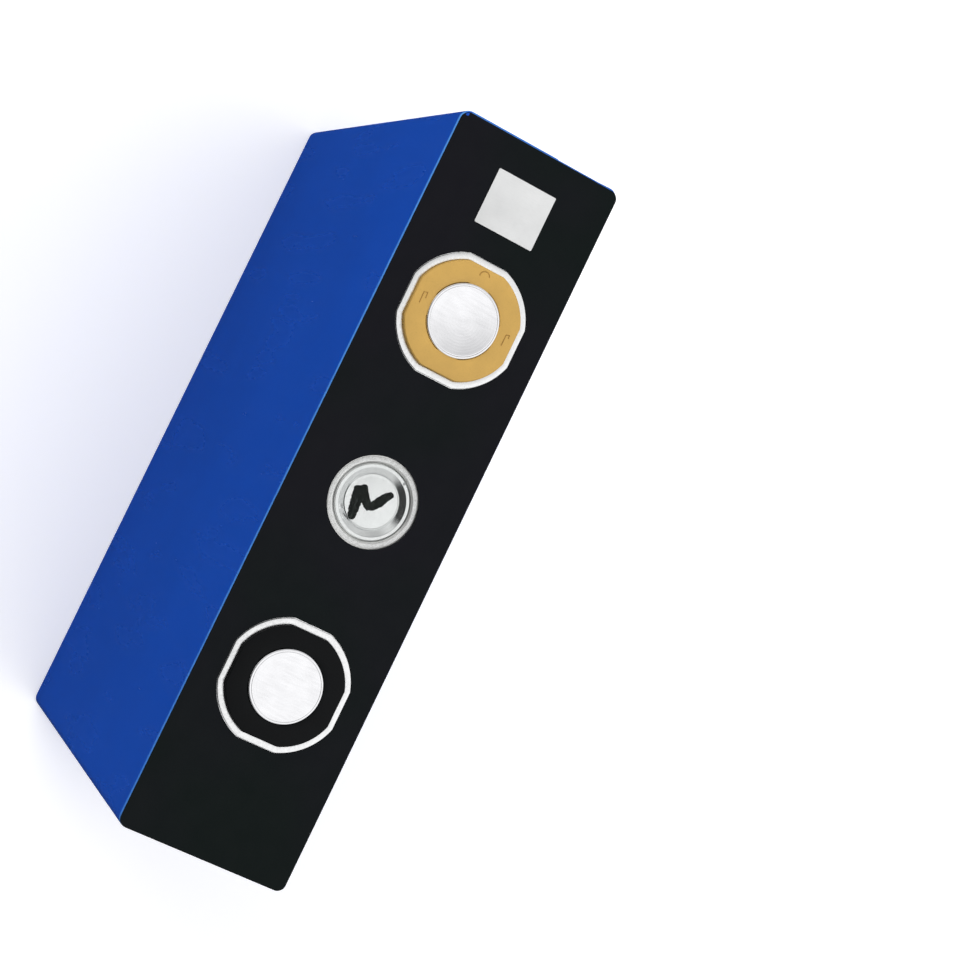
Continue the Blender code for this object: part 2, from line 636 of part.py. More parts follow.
def build_tab(roll, sign, finish_material):
    """A stack of foils that leaves the top of a roll and folds flat under its connector."""
    x = terminal_x(sign)
    side = -1 if roll == "front" else 1
    half_pi = math.pi / 2
    bend_z = TAB_TOP - TAB_BEND
    bend_y = TAB_LEG_Y - TAB_BEND
    outer = arc((bend_y, bend_z), TAB_BEND, 0.0, half_pi, 5)
    inner = arc((bend_y, bend_z), TAB_BEND - TAB_THICK, half_pi, 0.0, 5)
    foot = ROLL_TOP + GAP
    section = [(TAB_LEG_Y, foot), *outer, (TAB_TIP_Y, TAB_TOP), (TAB_TIP_Y, TAB_TOP - TAB_THICK)]
    section += [*inner, (TAB_LEG_Y - TAB_THICK, foot)]
    bm = bmesh.new()
    ends = []
    for end in (-TAB_HALF_X, TAB_HALF_X):
        ends.append([bm.verts.new((x + end, side * y, z)) for y, z in section])
    for ring in ends:
        bm.faces.new(ring)
    for i in range(len(section)):
        bm.faces.new((ends[0][i - 1], ends[0][i], ends[1][i], ends[1][i - 1]))
    finish(f"{roll}_{sign}_tab", bm, finish_material)


def build_tab_tape(sign, finishes):
    """The insulating tape over the welded foils."""
    outline = rounded_rectangle(TAPE_HALF, TAPE_CORNER, (terminal_x(sign), 0.0), steps=2)
    top = TAB_TOP - TAB_THICK - GAP
    plate(f"{sign}_tab_tape", outline, top - TAPE_THICK, top, finishes["amber_tape"])


# --- Electrode core ---------------------------------------------------------------------------------------
def build_roll(roll, finishes):
    """A wound electrode roll with an upright winding axis, and its end tape on the outer face."""
    side = -1 if roll == "front" else 1
    centre = (0.0, side * ROLL_Y)
    outline = racetrack(ROLL_HALF_X, ROLL_RADIUS, centre)
    core = racetrack(ROLL_CORE_HALF_X, ROLL_CORE_RADIUS, centre, steps=4)
    plate(f"{roll}_roll", outline, ROLL_BASE, ROLL_TOP, finishes["separator"], [core])
    face = side * (ROLL_Y + ROLL_RADIUS + GAP)
    bm = bmesh.new()
    corners = bmesh.ops.create_cube(bm, size=1.0)["verts"]
    size = (2 * ROLL_TAPE_HALF_X, ROLL_TAPE_THICK, ROLL_HEIGHT - 2 * ROLL_TAPE_MARGIN)
    bmesh.ops.scale(bm, verts=corners, vec=size)
    middle = (0.0, face + side * ROLL_TAPE_THICK / 2, ROLL_BASE + ROLL_HEIGHT / 2)
    bmesh.ops.translate(bm, verts=corners, vec=middle)
    finish(f"{roll}_roll_tape", bm, finishes["green_tape"], smooth=False)


def build_core_sleeve(finishes):
    """The insulating bag round both rolls, open at the top."""
    outer = nested_outline(SLEEVE_INSET)
    inner = nested_outline(SLEEVE_INSET + SLEEVE_THICK)
    rings = [
        (outer, SLEEVE_BASE),
        (outer, SLEEVE_TOP),
        (inner, SLEEVE_TOP),
        (inner, SLEEVE_BASE + SLEEVE_THICK),
    ]
    loft("core_sleeve", rings, finishes["clear_film"])


def build_core_tray(finishes):
    """The plastic tray under the rolls, with holes for the electrolyte."""
    holes = []
    for column in (-1.5, -0.5, 0.5, 1.5):
        for row in (-1, 1):
            centre = (column * TRAY_HOLE_PITCH, row * ROLL_Y)
            holes.append(circle(TRAY_HOLE, centre, steps=12))
    outline = rounded_rectangle(TRAY_HALF, TRAY_CORNER, steps=4)
    top = TRAY_BASE + TRAY_THICK
    plate("core_tray", outline, TRAY_BASE, top, finishes["white_plastic"], holes)


def main():
    clear_scene()
    finishes = palette()
    for build in (
        build_can,
        build_wrap_film,
        build_bottom_patch,
        build_cover_plate,
        build_top_sheet,
        build_code_label,
        build_vent_disc,
        build_vent_film,
        build_fill_plug,
        build_fill_cap,
        build_core_sleeve,
        build_core_tray,
    ):
        build(finishes)
    plastics = {"positive": finishes["tan_plastic"], "negative": finishes["black_plastic"]}
    metals = {"positive": finishes["terminal_aluminium"], "negative": finishes["copper"]}
    for sign in ("positive", "negative"):
        build_insulator(sign, plastics[sign])
        build_terminal_pad(sign, finishes["terminal_aluminium"])
        build_pole(sign, metals[sign])
        build_seal(sign, finishes)
        build_lower_insulator(sign, finishes)
        build_connector(sign, metals[sign])
        build_tab_tape(sign, finishes)
        for roll in ("front", "rear"):
            build_tab(roll, sign, metals[sign])
    for roll in ("front", "rear"):
        build_roll(roll, finishes)


main()
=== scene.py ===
"""The looks of the prismatic cell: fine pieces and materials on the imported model, with a stage round it."""

import math

import bmesh
import bpy
from mathutils import Matrix, Vector, noise


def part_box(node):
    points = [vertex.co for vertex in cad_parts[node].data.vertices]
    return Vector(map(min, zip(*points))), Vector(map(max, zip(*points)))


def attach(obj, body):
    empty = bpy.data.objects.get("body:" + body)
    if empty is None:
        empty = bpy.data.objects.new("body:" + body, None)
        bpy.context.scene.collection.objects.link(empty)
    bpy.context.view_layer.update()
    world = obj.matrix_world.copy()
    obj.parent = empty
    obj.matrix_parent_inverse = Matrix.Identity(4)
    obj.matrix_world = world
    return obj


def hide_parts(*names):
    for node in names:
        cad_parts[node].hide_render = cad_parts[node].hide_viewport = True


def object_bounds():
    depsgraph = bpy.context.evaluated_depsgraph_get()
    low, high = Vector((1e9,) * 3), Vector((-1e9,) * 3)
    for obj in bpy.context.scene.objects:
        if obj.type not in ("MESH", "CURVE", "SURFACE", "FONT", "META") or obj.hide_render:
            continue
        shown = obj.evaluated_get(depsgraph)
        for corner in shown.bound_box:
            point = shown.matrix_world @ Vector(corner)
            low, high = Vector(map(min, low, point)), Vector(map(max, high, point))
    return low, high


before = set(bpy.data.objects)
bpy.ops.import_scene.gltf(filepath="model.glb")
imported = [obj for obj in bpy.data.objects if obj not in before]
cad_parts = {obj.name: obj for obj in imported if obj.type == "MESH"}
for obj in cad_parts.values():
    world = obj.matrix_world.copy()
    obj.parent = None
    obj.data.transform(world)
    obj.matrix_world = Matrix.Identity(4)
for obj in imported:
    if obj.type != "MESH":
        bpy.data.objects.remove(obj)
CAD_LOW, CAD_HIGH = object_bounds()
MM = 0.001

# --- Places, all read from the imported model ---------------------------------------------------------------
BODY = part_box("wrap_film")
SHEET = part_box("top_sheet")
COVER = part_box("cover_plate")
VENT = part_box("vent_disc")
VENT_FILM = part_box("vent_film")
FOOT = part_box("bottom_patch")
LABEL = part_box("code_label")
SIGNS = ("positive", "negative")
PADS = {sign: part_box(f"{sign}_terminal_pad") for sign in SIGNS}
CUPS = {sign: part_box(f"{sign}_insulator") for sign in SIGNS}
FILL_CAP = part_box("fill_cap")
SEAT_TOP = VENT_FILM[0].z - 0.1 * MM  # the top of the cover's plate and of the vent's seat

# --- Sizes of the details that only show here -------------------------------------------------------------
CORNER_RADIUS = 2.4 * MM
FILM_THICK = 0.2 * MM
FILM_LAP = 0.12 * MM  # the step where one end of the film lies on the other
FILM_LAP_PLACE = 4.0 * MM  # where that step is on the narrow sides, as a y
FILM_WAVE = 0.09 * MM  # how deep the large faces dip
FILM_BEND_ACROSS, FILM_BEND_DOWN = 0.28 * MM, 1.2 * MM  # the film rolls over the can's edge
HEM_TOP = BODY[1].z
HEM_WIDTH = 3.0 * MM
FOOT_HEM_WIDTH = 12.0 * MM
FOLD_THICK = 0.12 * MM
FOLD_LIFTS = {  # how far each gathered corner stands up over the sheet, with the corner's x and y sides
    "front_left_fold": (-1, -1, 0.465 * MM),
    "front_right_fold": (1, -1, 0.217 * MM),
    "rear_left_fold": (-1, 1, 0.186 * MM),
    "rear_right_fold": (1, 1, 0.186 * MM),
}
COVER_MARGIN, COVER_CORNER = 0.3 * MM, 1.8 * MM
COLLAR_RADIUS, COLLAR_FLAT = 15.0 * MM, 14.3 * MM
COLLAR_ROLL = 0.08 * MM
INSULATOR_RADIUS, INSULATOR_FLAT = 13.5 * MM, 12.8 * MM
INSULATOR_BEVEL = 0.12 * MM
INSULATOR_EDGE = ((0.0, 0.30), (0.02, 0.24), (0.16, 0.05), (0.20, 0.015), (0.25, 0.0))  # inset and drop, mm
POLE_HOLE, POLE_BORE = 5.6 * MM, 5.0 * MM  # round the pole, in the cover and in the insulator
CLOSE_FIT = 0.06 * MM  # what shows of a gap between pieces that touch
SHEET_CORNER = 2.0 * MM
SHEET_MARGIN = 0.12 * MM  # from the film's outer face to the sheet's edge in front
WINDOW_GAP = 0.2 * MM
VENT_WINDOW = 10.5 * MM
VENT_SEAT_OUTER = 12.0 * MM
VENT_DISH_DEPTH = 0.75 * MM
VENT_WALL_START, VENT_WALL_WIDTH = 6.5 * MM, 1.3 * MM  # the dish's sloping wall
VENT_SCORE, VENT_LIP = 6.4 * MM, 6.15 * MM  # radii of the scored groove and of the lip inside it
VENT_BEAD = 9.55 * MM
VENT_FILM_RIM = 9.3 * MM  # from here outwards the film over the vent is frosted
PAD_RIM, PAD_GROOVE = 0.3 * MM, 0.62 * MM  # a pad's rounded rim, and its groove's distance from the edge
PAD_DISH = {"positive": 0.35 * MM, "negative": 0.08 * MM}  # how far each face is dished
RIB_WIDTH, RIB_HEIGHT = 0.26 * MM, 0.12 * MM
INK_THICK = 0.02 * MM

# --- Camera, floor and light ------------------------------------------------------------------------------
VIEW_TARGET = Vector((-14.8 * MM, 20.7 * MM, 140.0 * MM))
VIEW_DISTANCE = 536.0 * MM
VIEW_AZIMUTH, VIEW_ELEVATION, VIEW_ROLL = 7.60, 71.10, 108.57
VIEW_LENS, SENSOR = 89.61, 36.0
FLOOR_REACH, BACKDROP_RADIUS, BACKDROP_HEIGHT = 9.0, 8.0, 6.0  # metres
SKY_LOW = -0.5  # the height, as a direction's z, at which the room has gone dark
SKY_LEVELS = (
    (SKY_LOW, (0.03, 0.03, 0.032)),
    (-0.12, (0.66, 0.67, 0.69)),
    (0.2, (0.9, 0.9, 0.91)),
    (0.5, (1.08, 1.08, 1.08)),
)
FLANK_SHARE = 0.72  # how bright the room stays at both ends of the cell
DARK_AZIMUTH, DARK_ELEVATION = 30.0, 44.0  # the middle of the room's dark side, behind the camera
DARK_CORE, DARK_REACH, DARK_SHARE = 26.0, 50.0, 0.04
GREY_AZIMUTH, GREY_ELEVATION = -90.0, 60.0  # a dimmer patch of ceiling that shades the positive pad
GREY_CORE, GREY_REACH, GREY_SHARE = 8.0, 32.0, 0.42
SOFTBOXES = (  # name, azimuth, elevation, distance, width and watts
    ("front_softbox", -50, 42, 0.9, 0.7, 2.9),
    ("rear_softbox", 165, 40, 1.2, 0.9, 2.0),
    ("top_softbox", 0, 88, 1.2, 0.9, 2.7),
)


def direction(azimuth, elevation):
    """The way from the object towards a place at this azimuth and elevation, in degrees."""
    a, e = math.radians(azimuth), math.radians(elevation)
    return Vector((math.sin(a) * math.cos(e), -math.cos(a) * math.cos(e), math.sin(e)))


def build_camera():
    """The camera above and in front of the cell, rolled so that the cover runs down the picture."""
    data = bpy.data.cameras.new("camera")
    data.lens, data.sensor_width = VIEW_LENS, SENSOR
    data.clip_start, data.clip_end = 0.01, 50.0
    camera = bpy.data.objects.new("camera", data)
    bpy.context.scene.collection.objects.link(camera)
    back = direction(VIEW_AZIMUTH, VIEW_ELEVATION)
    turn = (-back).to_track_quat("-Z", "Y").to_matrix() @ Matrix.Rotation(math.radians(VIEW_ROLL), 3, "Z")
    camera.matrix_world = Matrix.Translation(VIEW_TARGET + back * VIEW_DISTANCE) @ turn.to_4x4()
    bpy.context.scene.camera = camera


def area_light(name, azimuth, elevation, distance, size, power):
    """A square softbox that faces the middle of the cell, and that metal doesn't mirror."""
    data = bpy.data.lights.new(name, "AREA")
    data.shape, data.size, data.energy = "SQUARE", size, power
    light = bpy.data.objects.new(name, data)
    bpy.context.scene.collection.objects.link(light)
    back = direction(azimuth, elevation)
    turn = (-back).to_track_quat("-Z", "Y").to_matrix().to_4x4()
    light.matrix_world = Matrix.Translation((CAD_LOW + CAD_HIGH) / 2 + back * distance) @ turn
    light.visible_glossy = False


def add_node(tree, kind, inputs, output=0, **settings):
    """A node with its settings and inputs, each input a value or another node's output."""
    node = tree.nodes.new(kind)
    for name, value in settings.items():
        setattr(node, name, value)
    for name, value in inputs.items():
        if isinstance(value, bpy.types.NodeSocket):
            tree.links.new(value, node.inputs[name])
        else:
            node.inputs[name].default_value = value
    return node.outputs[output]


def build_world():
    """A soft white room for metal to mirror: dark low down and behind the camera, dimmer at both ends."""
    world = bpy.data.worlds.new("studio")
    bpy.context.scene.world = world
    world.use_nodes = True
    tree = world.node_tree
    background = tree.nodes["Background"]
    where = add_node(tree, "ShaderNodeTexCoord", {})
    ways = tree.nodes.new("ShaderNodeSeparateXYZ")
    tree.links.new(where, ways.inputs[0])
    sky = tree.nodes.new("ShaderNodeValToRGB")
    height_inputs = {"Value": ways.outputs["Z"], "From Min": SKY_LOW, "From Max": 1.0}
    height = add_node(tree, "ShaderNodeMapRange", height_inputs)
    tree.links.new(height, sky.inputs["Fac"])
    ramp = sky.color_ramp
    for i, (z, tint) in enumerate(SKY_LEVELS):
        at = (z - SKY_LOW) / (1.0 - SKY_LOW)
        stop = ramp.elements[i] if i < 2 else ramp.elements.new(at)
        stop.position, stop.color = at, (*tint, 1.0)
    along = ways.outputs["X"]
    end_on = add_node(tree, "ShaderNodeMath", {0: along, 1: along}, operation="MULTIPLY")
    flank_inputs = {"Value": end_on, "From Max": 0.5, "To Min": 1.0, "To Max": FLANK_SHARE}
    flank = add_node(tree, "ShaderNodeMapRange", flank_inputs)

    def patch(azimuth, elevation, core, reach, share):
        """A soft round patch of the room, dimmed to this share."""
        pair = {0: where, 1: tuple(direction(azimuth, elevation))}
        facing = add_node(tree, "ShaderNodeVectorMath", pair, "Value", operation="DOT_PRODUCT")
        near, far = math.cos(math.radians(core)), math.cos(math.radians(reach))
        inputs = {"Value": facing, "From Min": far, "From Max": near, "To Min": 1.0, "To Max": share}
        return add_node(tree, "ShaderNodeMapRange", inputs, interpolation_type="SMOOTHSTEP")

    dark = patch(DARK_AZIMUTH, DARK_ELEVATION, DARK_CORE, DARK_REACH, DARK_SHARE)
    grey = patch(GREY_AZIMUTH, GREY_ELEVATION, GREY_CORE, GREY_REACH, GREY_SHARE)
    dimmed = add_node(tree, "ShaderNodeMath", {0: dark, 1: grey}, operation="MULTIPLY")
    share = add_node(tree, "ShaderNodeMath", {0: flank, 1: dimmed}, operation="MULTIPLY")
    tree.links.new(sky.outputs["Color"], background.inputs["Color"])
    tree.links.new(share, background.inputs["Strength"])


def add_object(name, bm, finish):
    """Turns a bmesh into an object in the scene, with one material."""
    mesh = bpy.data.meshes.new(name)
    bm.to_mesh(mesh)
    bm.free()
    mesh.materials.append(finish)
    made = bpy.data.objects.new(name, mesh)
    bpy.context.scene.collection.objects.link(made)
    return made


def build_floor(finish):
    """A wide pale floor under the cell."""
    bm = bmesh.new()
    bmesh.ops.create_grid(bm, x_segments=8, y_segments=8, size=FLOOR_REACH)
    floor = add_object("floor", bm, finish)
    floor.location.z = CAD_LOW.z - 0.05 * MM
    floor.visible_glossy = False


def build_backdrop(finish):
    """A tall white wall round the floor, there for the camera alone."""
    outline = circle(BACKDROP_RADIUS, steps=96)
    bm = skin([(outline, -0.5), (outline, BACKDROP_HEIGHT)])
    backdrop = add_object("backdrop", bm, finish)
    backdrop.visible_glossy = backdrop.visible_diffuse = backdrop.visible_shadow = False


# --- Materials --------------------------------------------------------------------------------------------
class Look:
    """One procedural material, built up from textures in the cell's own coordinates."""

    def __init__(self, name, colour, roughness, **sockets):
        self.material = bpy.data.materials.new(name)
        self.material.use_nodes = True
        self.tree = self.material.node_tree
        self.shader = self.tree.nodes["Principled BSDF"]
        self.shader.inputs["Base Color"].default_value = (*colour, 1.0)
        self.shader.inputs["Roughness"].default_value = roughness
        for socket, value in sockets.items():
            self.shader.inputs[socket.replace("_", " ")].default_value = value
        self.where = self.tree.nodes.new("ShaderNodeTexCoord").outputs["Object"]
        self.normal = None

    def add(self, kind, inputs, output=0, **settings):
        """A node in this material."""
        return add_node(self.tree, kind, inputs, output, **settings)

    def place(self, stretch):
        """The coordinates, stretched."""
        return self.add("ShaderNodeMapping", {"Vector": self.where, "Scale": stretch})

    def noise(self, size, detail=2.0, stretch=(1, 1, 1), roughness=0.5):
        """Noise whose features are about this size."""
        inputs = {"Vector": self.place(stretch), "Scale": 1 / size, "Detail": detail, "Roughness": roughness}
        return self.add("ShaderNodeTexNoise", inputs)

    def cells(self, size):
        """Cells of about this size."""
        return self.add("ShaderNodeTexVoronoi", {"Vector": self.where, "Scale": 1 / size}, "Distance")

    def span(self, value, low, high, start=0.0, end=1.0):
        """The value's stretch from start to end, mapped to low and high."""
        inputs = {"Value": value, "From Min": start, "From Max": end, "To Min": low, "To Max": high}
        return self.add("ShaderNodeMapRange", inputs)

    def math(self, operation, first, second=0.0):
        """One sum."""
        return self.add("ShaderNodeMath", {0: first, 1: second}, operation=operation)

    def mix(self, factor, first, second):
        """A colour between two."""
        node = self.tree.nodes.new("ShaderNodeMix")
        node.data_type = "RGBA"
        for index, value in ((0, factor), (6, first), (7, second)):
            if isinstance(value, bpy.types.NodeSocket):
                self.tree.links.new(value, node.inputs[index])
            elif index == 0:
                node.inputs[index].default_value = value
            else:
                node.inputs[index].default_value = (*value, 1.0)
        return node.outputs[2]

    def colour(self, value):
        """Links the base colour."""
        self.tree.links.new(value, self.shader.inputs["Base Color"])

    def roughness(self, value):
        """Links the roughness."""
        self.tree.links.new(value, self.shader.inputs["Roughness"])

    def bump(self, height, depth):
        """Relief of this depth, on top of the relief so far."""
        inputs = {"Height": height, "Distance": depth, "Strength": 1.0}
        if self.normal is not None:
            inputs["Normal"] = self.normal
        self.normal = self.add("ShaderNodeBump", inputs)

    def done(self):
        """Links the relief, and gives the finished material."""
        if self.normal is not None:
            self.tree.links.new(self.normal, self.shader.inputs["Normal"])
        return self.material


def shade(colour, share):
    """A colour made darker or lighter."""
    return tuple(min(1.0, channel * share) for channel in colour)


def blue_film_look():
    """Glossy blue film with a faint orange peel, a slow waviness and wipe marks."""
    blue = (0.0004, 0.067, 0.465)
    look = Look("blue_film", blue, 0.25, Specular_IOR_Level=0.2)
    cloud = look.noise(45 * MM, 3.0)
    fleck = look.noise(0.5 * MM, 2.0)
    tone = look.mix(look.span(cloud, 0.0, 1.0, 0.35, 0.65), shade(blue, 0.96), shade(blue, 1.03))
    tone = look.mix(look.span(fleck, 0.0, 0.2, 0.45, 0.75), tone, shade(blue, 1.2))
    # Painted highlight: a pale blue band along the top bend, strongest at the front face and towards the
    # positive end, stands in for the sky's reflection on the bend; it stops short of the hem and the folded
    # ears.
    ways = look.tree.nodes.new("ShaderNodeSeparateXYZ")
    look.tree.links.new(look.where, ways.inputs[0])
    up = look.span(ways.outputs["Z"], 0.0, 1.0, HEM_TOP - 1.15 * MM, HEM_TOP - 0.5 * MM)
    over = look.span(ways.outputs["Z"], 1.0, 0.0, HEM_TOP + 0.02 * MM, HEM_TOP + 0.1 * MM)
    along = look.span(ways.outputs["X"], 0.9, 0.5, BODY[0].x, BODY[1].x)
    front = look.span(ways.outputs["Y"], 1.0, 0.6, BODY[0].y + 0.3 * MM, BODY[0].y + 2.5 * MM)
    across = look.span(ways.outputs["Y"], 1.0, 0.45, BODY[0].y, BODY[1].y)
    patchy = look.span(look.noise(1.4 * MM, 3.0), 0.8, 1.0, 0.3, 0.6)
    # pale holds the painted highlight's strength, patchy along the bend.
    pale = patchy
    for share in (up, over, along, front, across):
        pale = look.math("MULTIPLY", pale, share)
    # Mixes the painted highlight into the film's colour.
    look.colour(look.mix(pale, tone, (0.10, 0.36, 0.85)))
    wipes = look.noise(7 * MM, 4.0, (1.0, 1.0, 0.15))
    look.roughness(look.span(wipes, 0.2, 0.3, 0.3, 0.7))
    look.bump(look.noise(14 * MM, 1.0), 0.09 * MM)
    look.bump(look.noise(0.7 * MM, 1.0), 0.004 * MM)
    return look.done()


def black_sheet_look():
    """Fine-grained black plastic sheet, a little uneven in tone."""
    black = (0.0042, 0.0048, 0.0056)
    look = Look("black_sheet", black, 0.5, Specular_IOR_Level=0.08)
    cloud = look.noise(42 * MM, 2.0)
    greener, bluer = (0.0030, 0.0066, 0.0060), (0.0060, 0.0060, 0.0094)
    tone = look.mix(look.span(cloud, 0.0, 1.0, 0.38, 0.62), greener, bluer)
    grain = look.cells(0.22 * MM)
    look.colour(look.mix(look.span(grain, 0.0, 0.3, 0.2, 0.7), tone, shade(black, 1.6)))
    look.roughness(look.span(look.noise(5 * MM, 5.0), 0.44, 0.6, 0.3, 0.7))
    look.bump(grain, 0.012 * MM)
    look.bump(look.noise(22 * MM, 1.0), 0.06 * MM)
    return look.done()


def label_look():
    """Matt pale label film with a faint fibre."""
    pale = (0.69, 0.695, 0.695)
    look = Look("label_paper", pale, 0.55, Specular_IOR_Level=0.35)
    cloud = look.noise(6 * MM, 3.0)
    tone = look.mix(look.span(cloud, 0.0, 1.0, 0.3, 0.7), shade(pale, 0.95), shade(pale, 1.04))
    fibre = look.noise(0.35 * MM, 3.0, (1.0, 0.3, 1.0))
    look.colour(look.mix(look.span(fibre, 0.0, 0.3, 0.5, 0.8), tone, shade(pale, 0.88)))
    look.roughness(look.span(fibre, 0.48, 0.62))
    look.bump(fibre, 0.006 * MM)
    return look.done()


def plastic_look(name, colour, spread, roughness, gloss=0.25):
    """Moulded plastic filled with short fibre: fine specks, flow marks and a pitted skin."""
    look = Look(name, colour, roughness, Specular_IOR_Level=gloss)
    flow = look.noise(5 * MM, 3.0)
    tone = look.mix(look.span(flow, 0.0, 1.0, 0.3, 0.7), shade(colour, 1 - spread), shade(colour, 1 + spread))
    speck = look.noise(0.28 * MM, 3.0, roughness=0.7)
    look.colour(look.mix(look.span(speck, 0.0, 0.6, 0.55, 0.8), tone, shade(colour, 0.72)))
    look.roughness(look.span(flow, roughness - 0.06, roughness + 0.08))
    look.bump(look.noise(0.16 * MM, 2.0), 0.006 * MM)
    return look.done()


def metal_look(name, colour, roughness, grain, stretch=(1, 1, 1), mottle=0.04):
    """Bare metal with a directional grain, fine scratches and slight tarnish."""
    look = Look(name, colour, roughness, Metallic=1.0)
    cloud = look.span(look.noise(4 * MM, 4.0), 0.0, 1.0, 0.3, 0.7)
    look.colour(look.mix(cloud, shade(colour, 1 - mottle), shade(colour, 1 + mottle)))
    line = look.noise(grain, 3.0, stretch)
    look.roughness(look.span(line, roughness - 0.08, roughness + 0.1, 0.3, 0.7))
    look.bump(line, 0.003 * MM)
    return look.done()


def turned_look(name, colour, roughness, centre):
    """Metal faced on a lathe: rings about a centre that pull the highlight into two fans."""
    look = Look(name, colour, roughness, Metallic=1.0, Anisotropic=0.65)
    offset = look.add("ShaderNodeMapping", {"Vector": look.where, "Location": (-centre.x, -centre.y, 0)})
    rings = look.add(
        "ShaderNodeTexWave",
        {"Vector": offset, "Scale": 1 / (2.2 * MM), "Distortion": 0.4, "Detail": 1.0},
        "Fac",
        wave_type="RINGS",
        rings_direction="Z",
        wave_profile="SIN",
    )
    cloud = look.noise(3 * MM, 4.0)
    tone = look.mix(look.span(cloud, 0.0, 1.0, 0.3, 0.7), shade(colour, 0.96), shade(colour, 1.02))
    look.colour(look.mix(look.span(rings, 0.0, 0.08), tone, shade(colour, 0.8)))
    scratch = look.noise(0.6 * MM, 5.0, (1.0, 0.12, 1.0))
    look.roughness(look.span(scratch, roughness - 0.04, roughness + 0.08, 0.35, 0.7))
    look.bump(rings, 0.0015 * MM)
    tangent = look.add("ShaderNodeTangent", {}, direction_type="RADIAL", axis="Z")
    look.tree.links.new(tangent, look.shader.inputs["Tangent"])
    return look.done()


def clear_film_look(name, haze):
    """Clear film: see-through, with a gloss that grows where it is seen edge-on, and some haze."""
    look = Look(name, (0.92, 0.93, 0.93), 0.4, Specular_IOR_Level=0.4)
    tree = look.tree
    output = tree.nodes["Material Output"]
    through = tree.nodes.new("ShaderNodeBsdfTransparent")
    gloss = tree.nodes.new("ShaderNodeBsdfGlossy")
    ripple = look.noise(3 * MM, 2.0)
    smear = look.span(look.noise(1.6 * MM, 4.0), 0.05, 0.16, 0.3, 0.7)
    tree.links.new(smear, gloss.inputs["Roughness"])
    look.bump(ripple, 0.02 * MM)
    tree.links.new(look.normal, gloss.inputs["Normal"])
    facing = look.add("ShaderNodeLayerWeight", {"Blend": 0.5}, "Facing")
    grazing = look.math("MULTIPLY", look.math("POWER", facing, 5.0), 0.5)
    sheen = look.math("ADD", grazing, 0.003)
    clear = tree.nodes.new("ShaderNodeMixShader")
    tree.links.new(sheen, clear.inputs["Fac"])
    tree.links.new(through.outputs[0], clear.inputs[1])
    tree.links.new(gloss.outputs[0], clear.inputs[2])
    hazed = tree.nodes.new("ShaderNodeMixShader")
    cover = look.span(look.noise(0.8 * MM, 4.0), haze * 0.6, haze * 1.4, 0.3, 0.7)
    tree.links.new(cover, hazed.inputs["Fac"])
    tree.links.new(clear.outputs[0], hazed.inputs[1])
    tree.links.new(look.shader.outputs[0], hazed.inputs[2])
    tree.links.new(hazed.outputs[0], output.inputs["Surface"])
    return look.done()


def rubber_look():
    """Dull black rubber with a fine bloom."""
    look = Look("seal_rubber", (0.02, 0.02, 0.021), 0.7)
    bloom = look.noise(1.2 * MM, 4.0)
    look.colour(look.mix(look.span(bloom, 0.0, 1.0, 0.3, 0.8), (0.016, 0.016, 0.017), (0.04, 0.04, 0.042)))
    look.roughness(look.span(bloom, 0.6, 0.8))
    look.bump(look.noise(0.2 * MM, 2.0), 0.008 * MM)
    return look.done()


def pen_ink_look():
    """Black ink, thin and streaky where the pen skipped."""
    look = Look("pen_ink", (0.004, 0.006, 0.005), 0.5, Specular_IOR_Level=0.06)
    streak = look.noise(0.5 * MM, 3.0, (0.2, 1.0, 1.0))
    look.colour(look.mix(look.span(streak, 0.0, 0.7, 0.58, 0.8), (0.003, 0.005, 0.004), (0.06, 0.075, 0.068)))
    look.roughness(look.span(streak, 0.42, 0.6))
    look.bump(streak, 0.004 * MM)
    return look.done()


def winding_look(centre_y, reach):
    """The edges of foil and separator, turn on turn, round a flat core."""
    look = Look("separator", (0.75, 0.76, 0.74), 0.6)
    split = look.tree.nodes.new("ShaderNodeSeparateXYZ")
    look.tree.links.new(look.where, split.inputs[0])
    past_end = look.math("MAXIMUM", look.math("SUBTRACT", look.math("ABSOLUTE", split.outputs["X"]), reach))
    across = look.math("SUBTRACT", split.outputs["Y"], centre_y)
    squares = look.math("ADD", look.math("POWER", past_end, 2.0), look.math("POWER", across, 2.0))
    out = look.math("SQRT", squares)
    turn = look.math("FRACT", look.math("DIVIDE", out, 0.35 * MM))
    dark = look.math("LESS_THAN", turn, 0.34)
    coated = look.mix(dark, (0.74, 0.75, 0.73), (0.03, 0.03, 0.032))
    look.colour(look.mix(look.math("GREATER_THAN", turn, 0.9), coated, (0.62, 0.3, 0.17)))
    look.bump(turn, 0.03 * MM)
    return look.done()


def tape_look(name, colour):
    """Thin glossy tape with a slight stretch grain."""
    look = Look(name, colour, 0.3, Specular_IOR_Level=0.5)
    pull = look.noise(1.5 * MM, 3.0, (1.0, 1.0, 0.2))
    look.colour(look.mix(look.span(pull, 0.0, 1.0, 0.3, 0.7), shade(colour, 0.88), shade(colour, 1.12)))
    look.roughness(look.span(pull, 0.22, 0.38, 0.3, 0.7))
    look.bump(pull, 0.01 * MM)
    return look.done()


def stage_look(name, glow):
    """Pale matt paint that glows a little, as a lit studio sweep does."""
    look = Look(name, (0.93, 0.93, 0.93), 0.8, Specular_IOR_Level=0.1)
    look.shader.inputs["Emission Color"].default_value = (1.0, 1.0, 1.0, 1.0)
    look.shader.inputs["Emission Strength"].default_value = glow
    look.colour(look.mix(look.noise(300 * MM, 2.0), (0.92, 0.92, 0.92), (0.94, 0.94, 0.94)))
    return look.done()


# --- Outlines ---------------------------------------------------------------------------------------------
def arc(centre, radius, start, end, steps):
    """Points on an arc, both ends included, with the angles in radians."""
    turn = [start + (end - start) * i / steps for i in range(steps + 1)]
    return [(centre[0] + radius * math.cos(a), centre[1] + radius * math.sin(a)) for a in turn]


def circle(radius, centre=(0.0, 0.0), steps=128):
    """A full circle."""
    return arc(centre, radius, 0.0, 2 * math.pi, steps)[:-1]


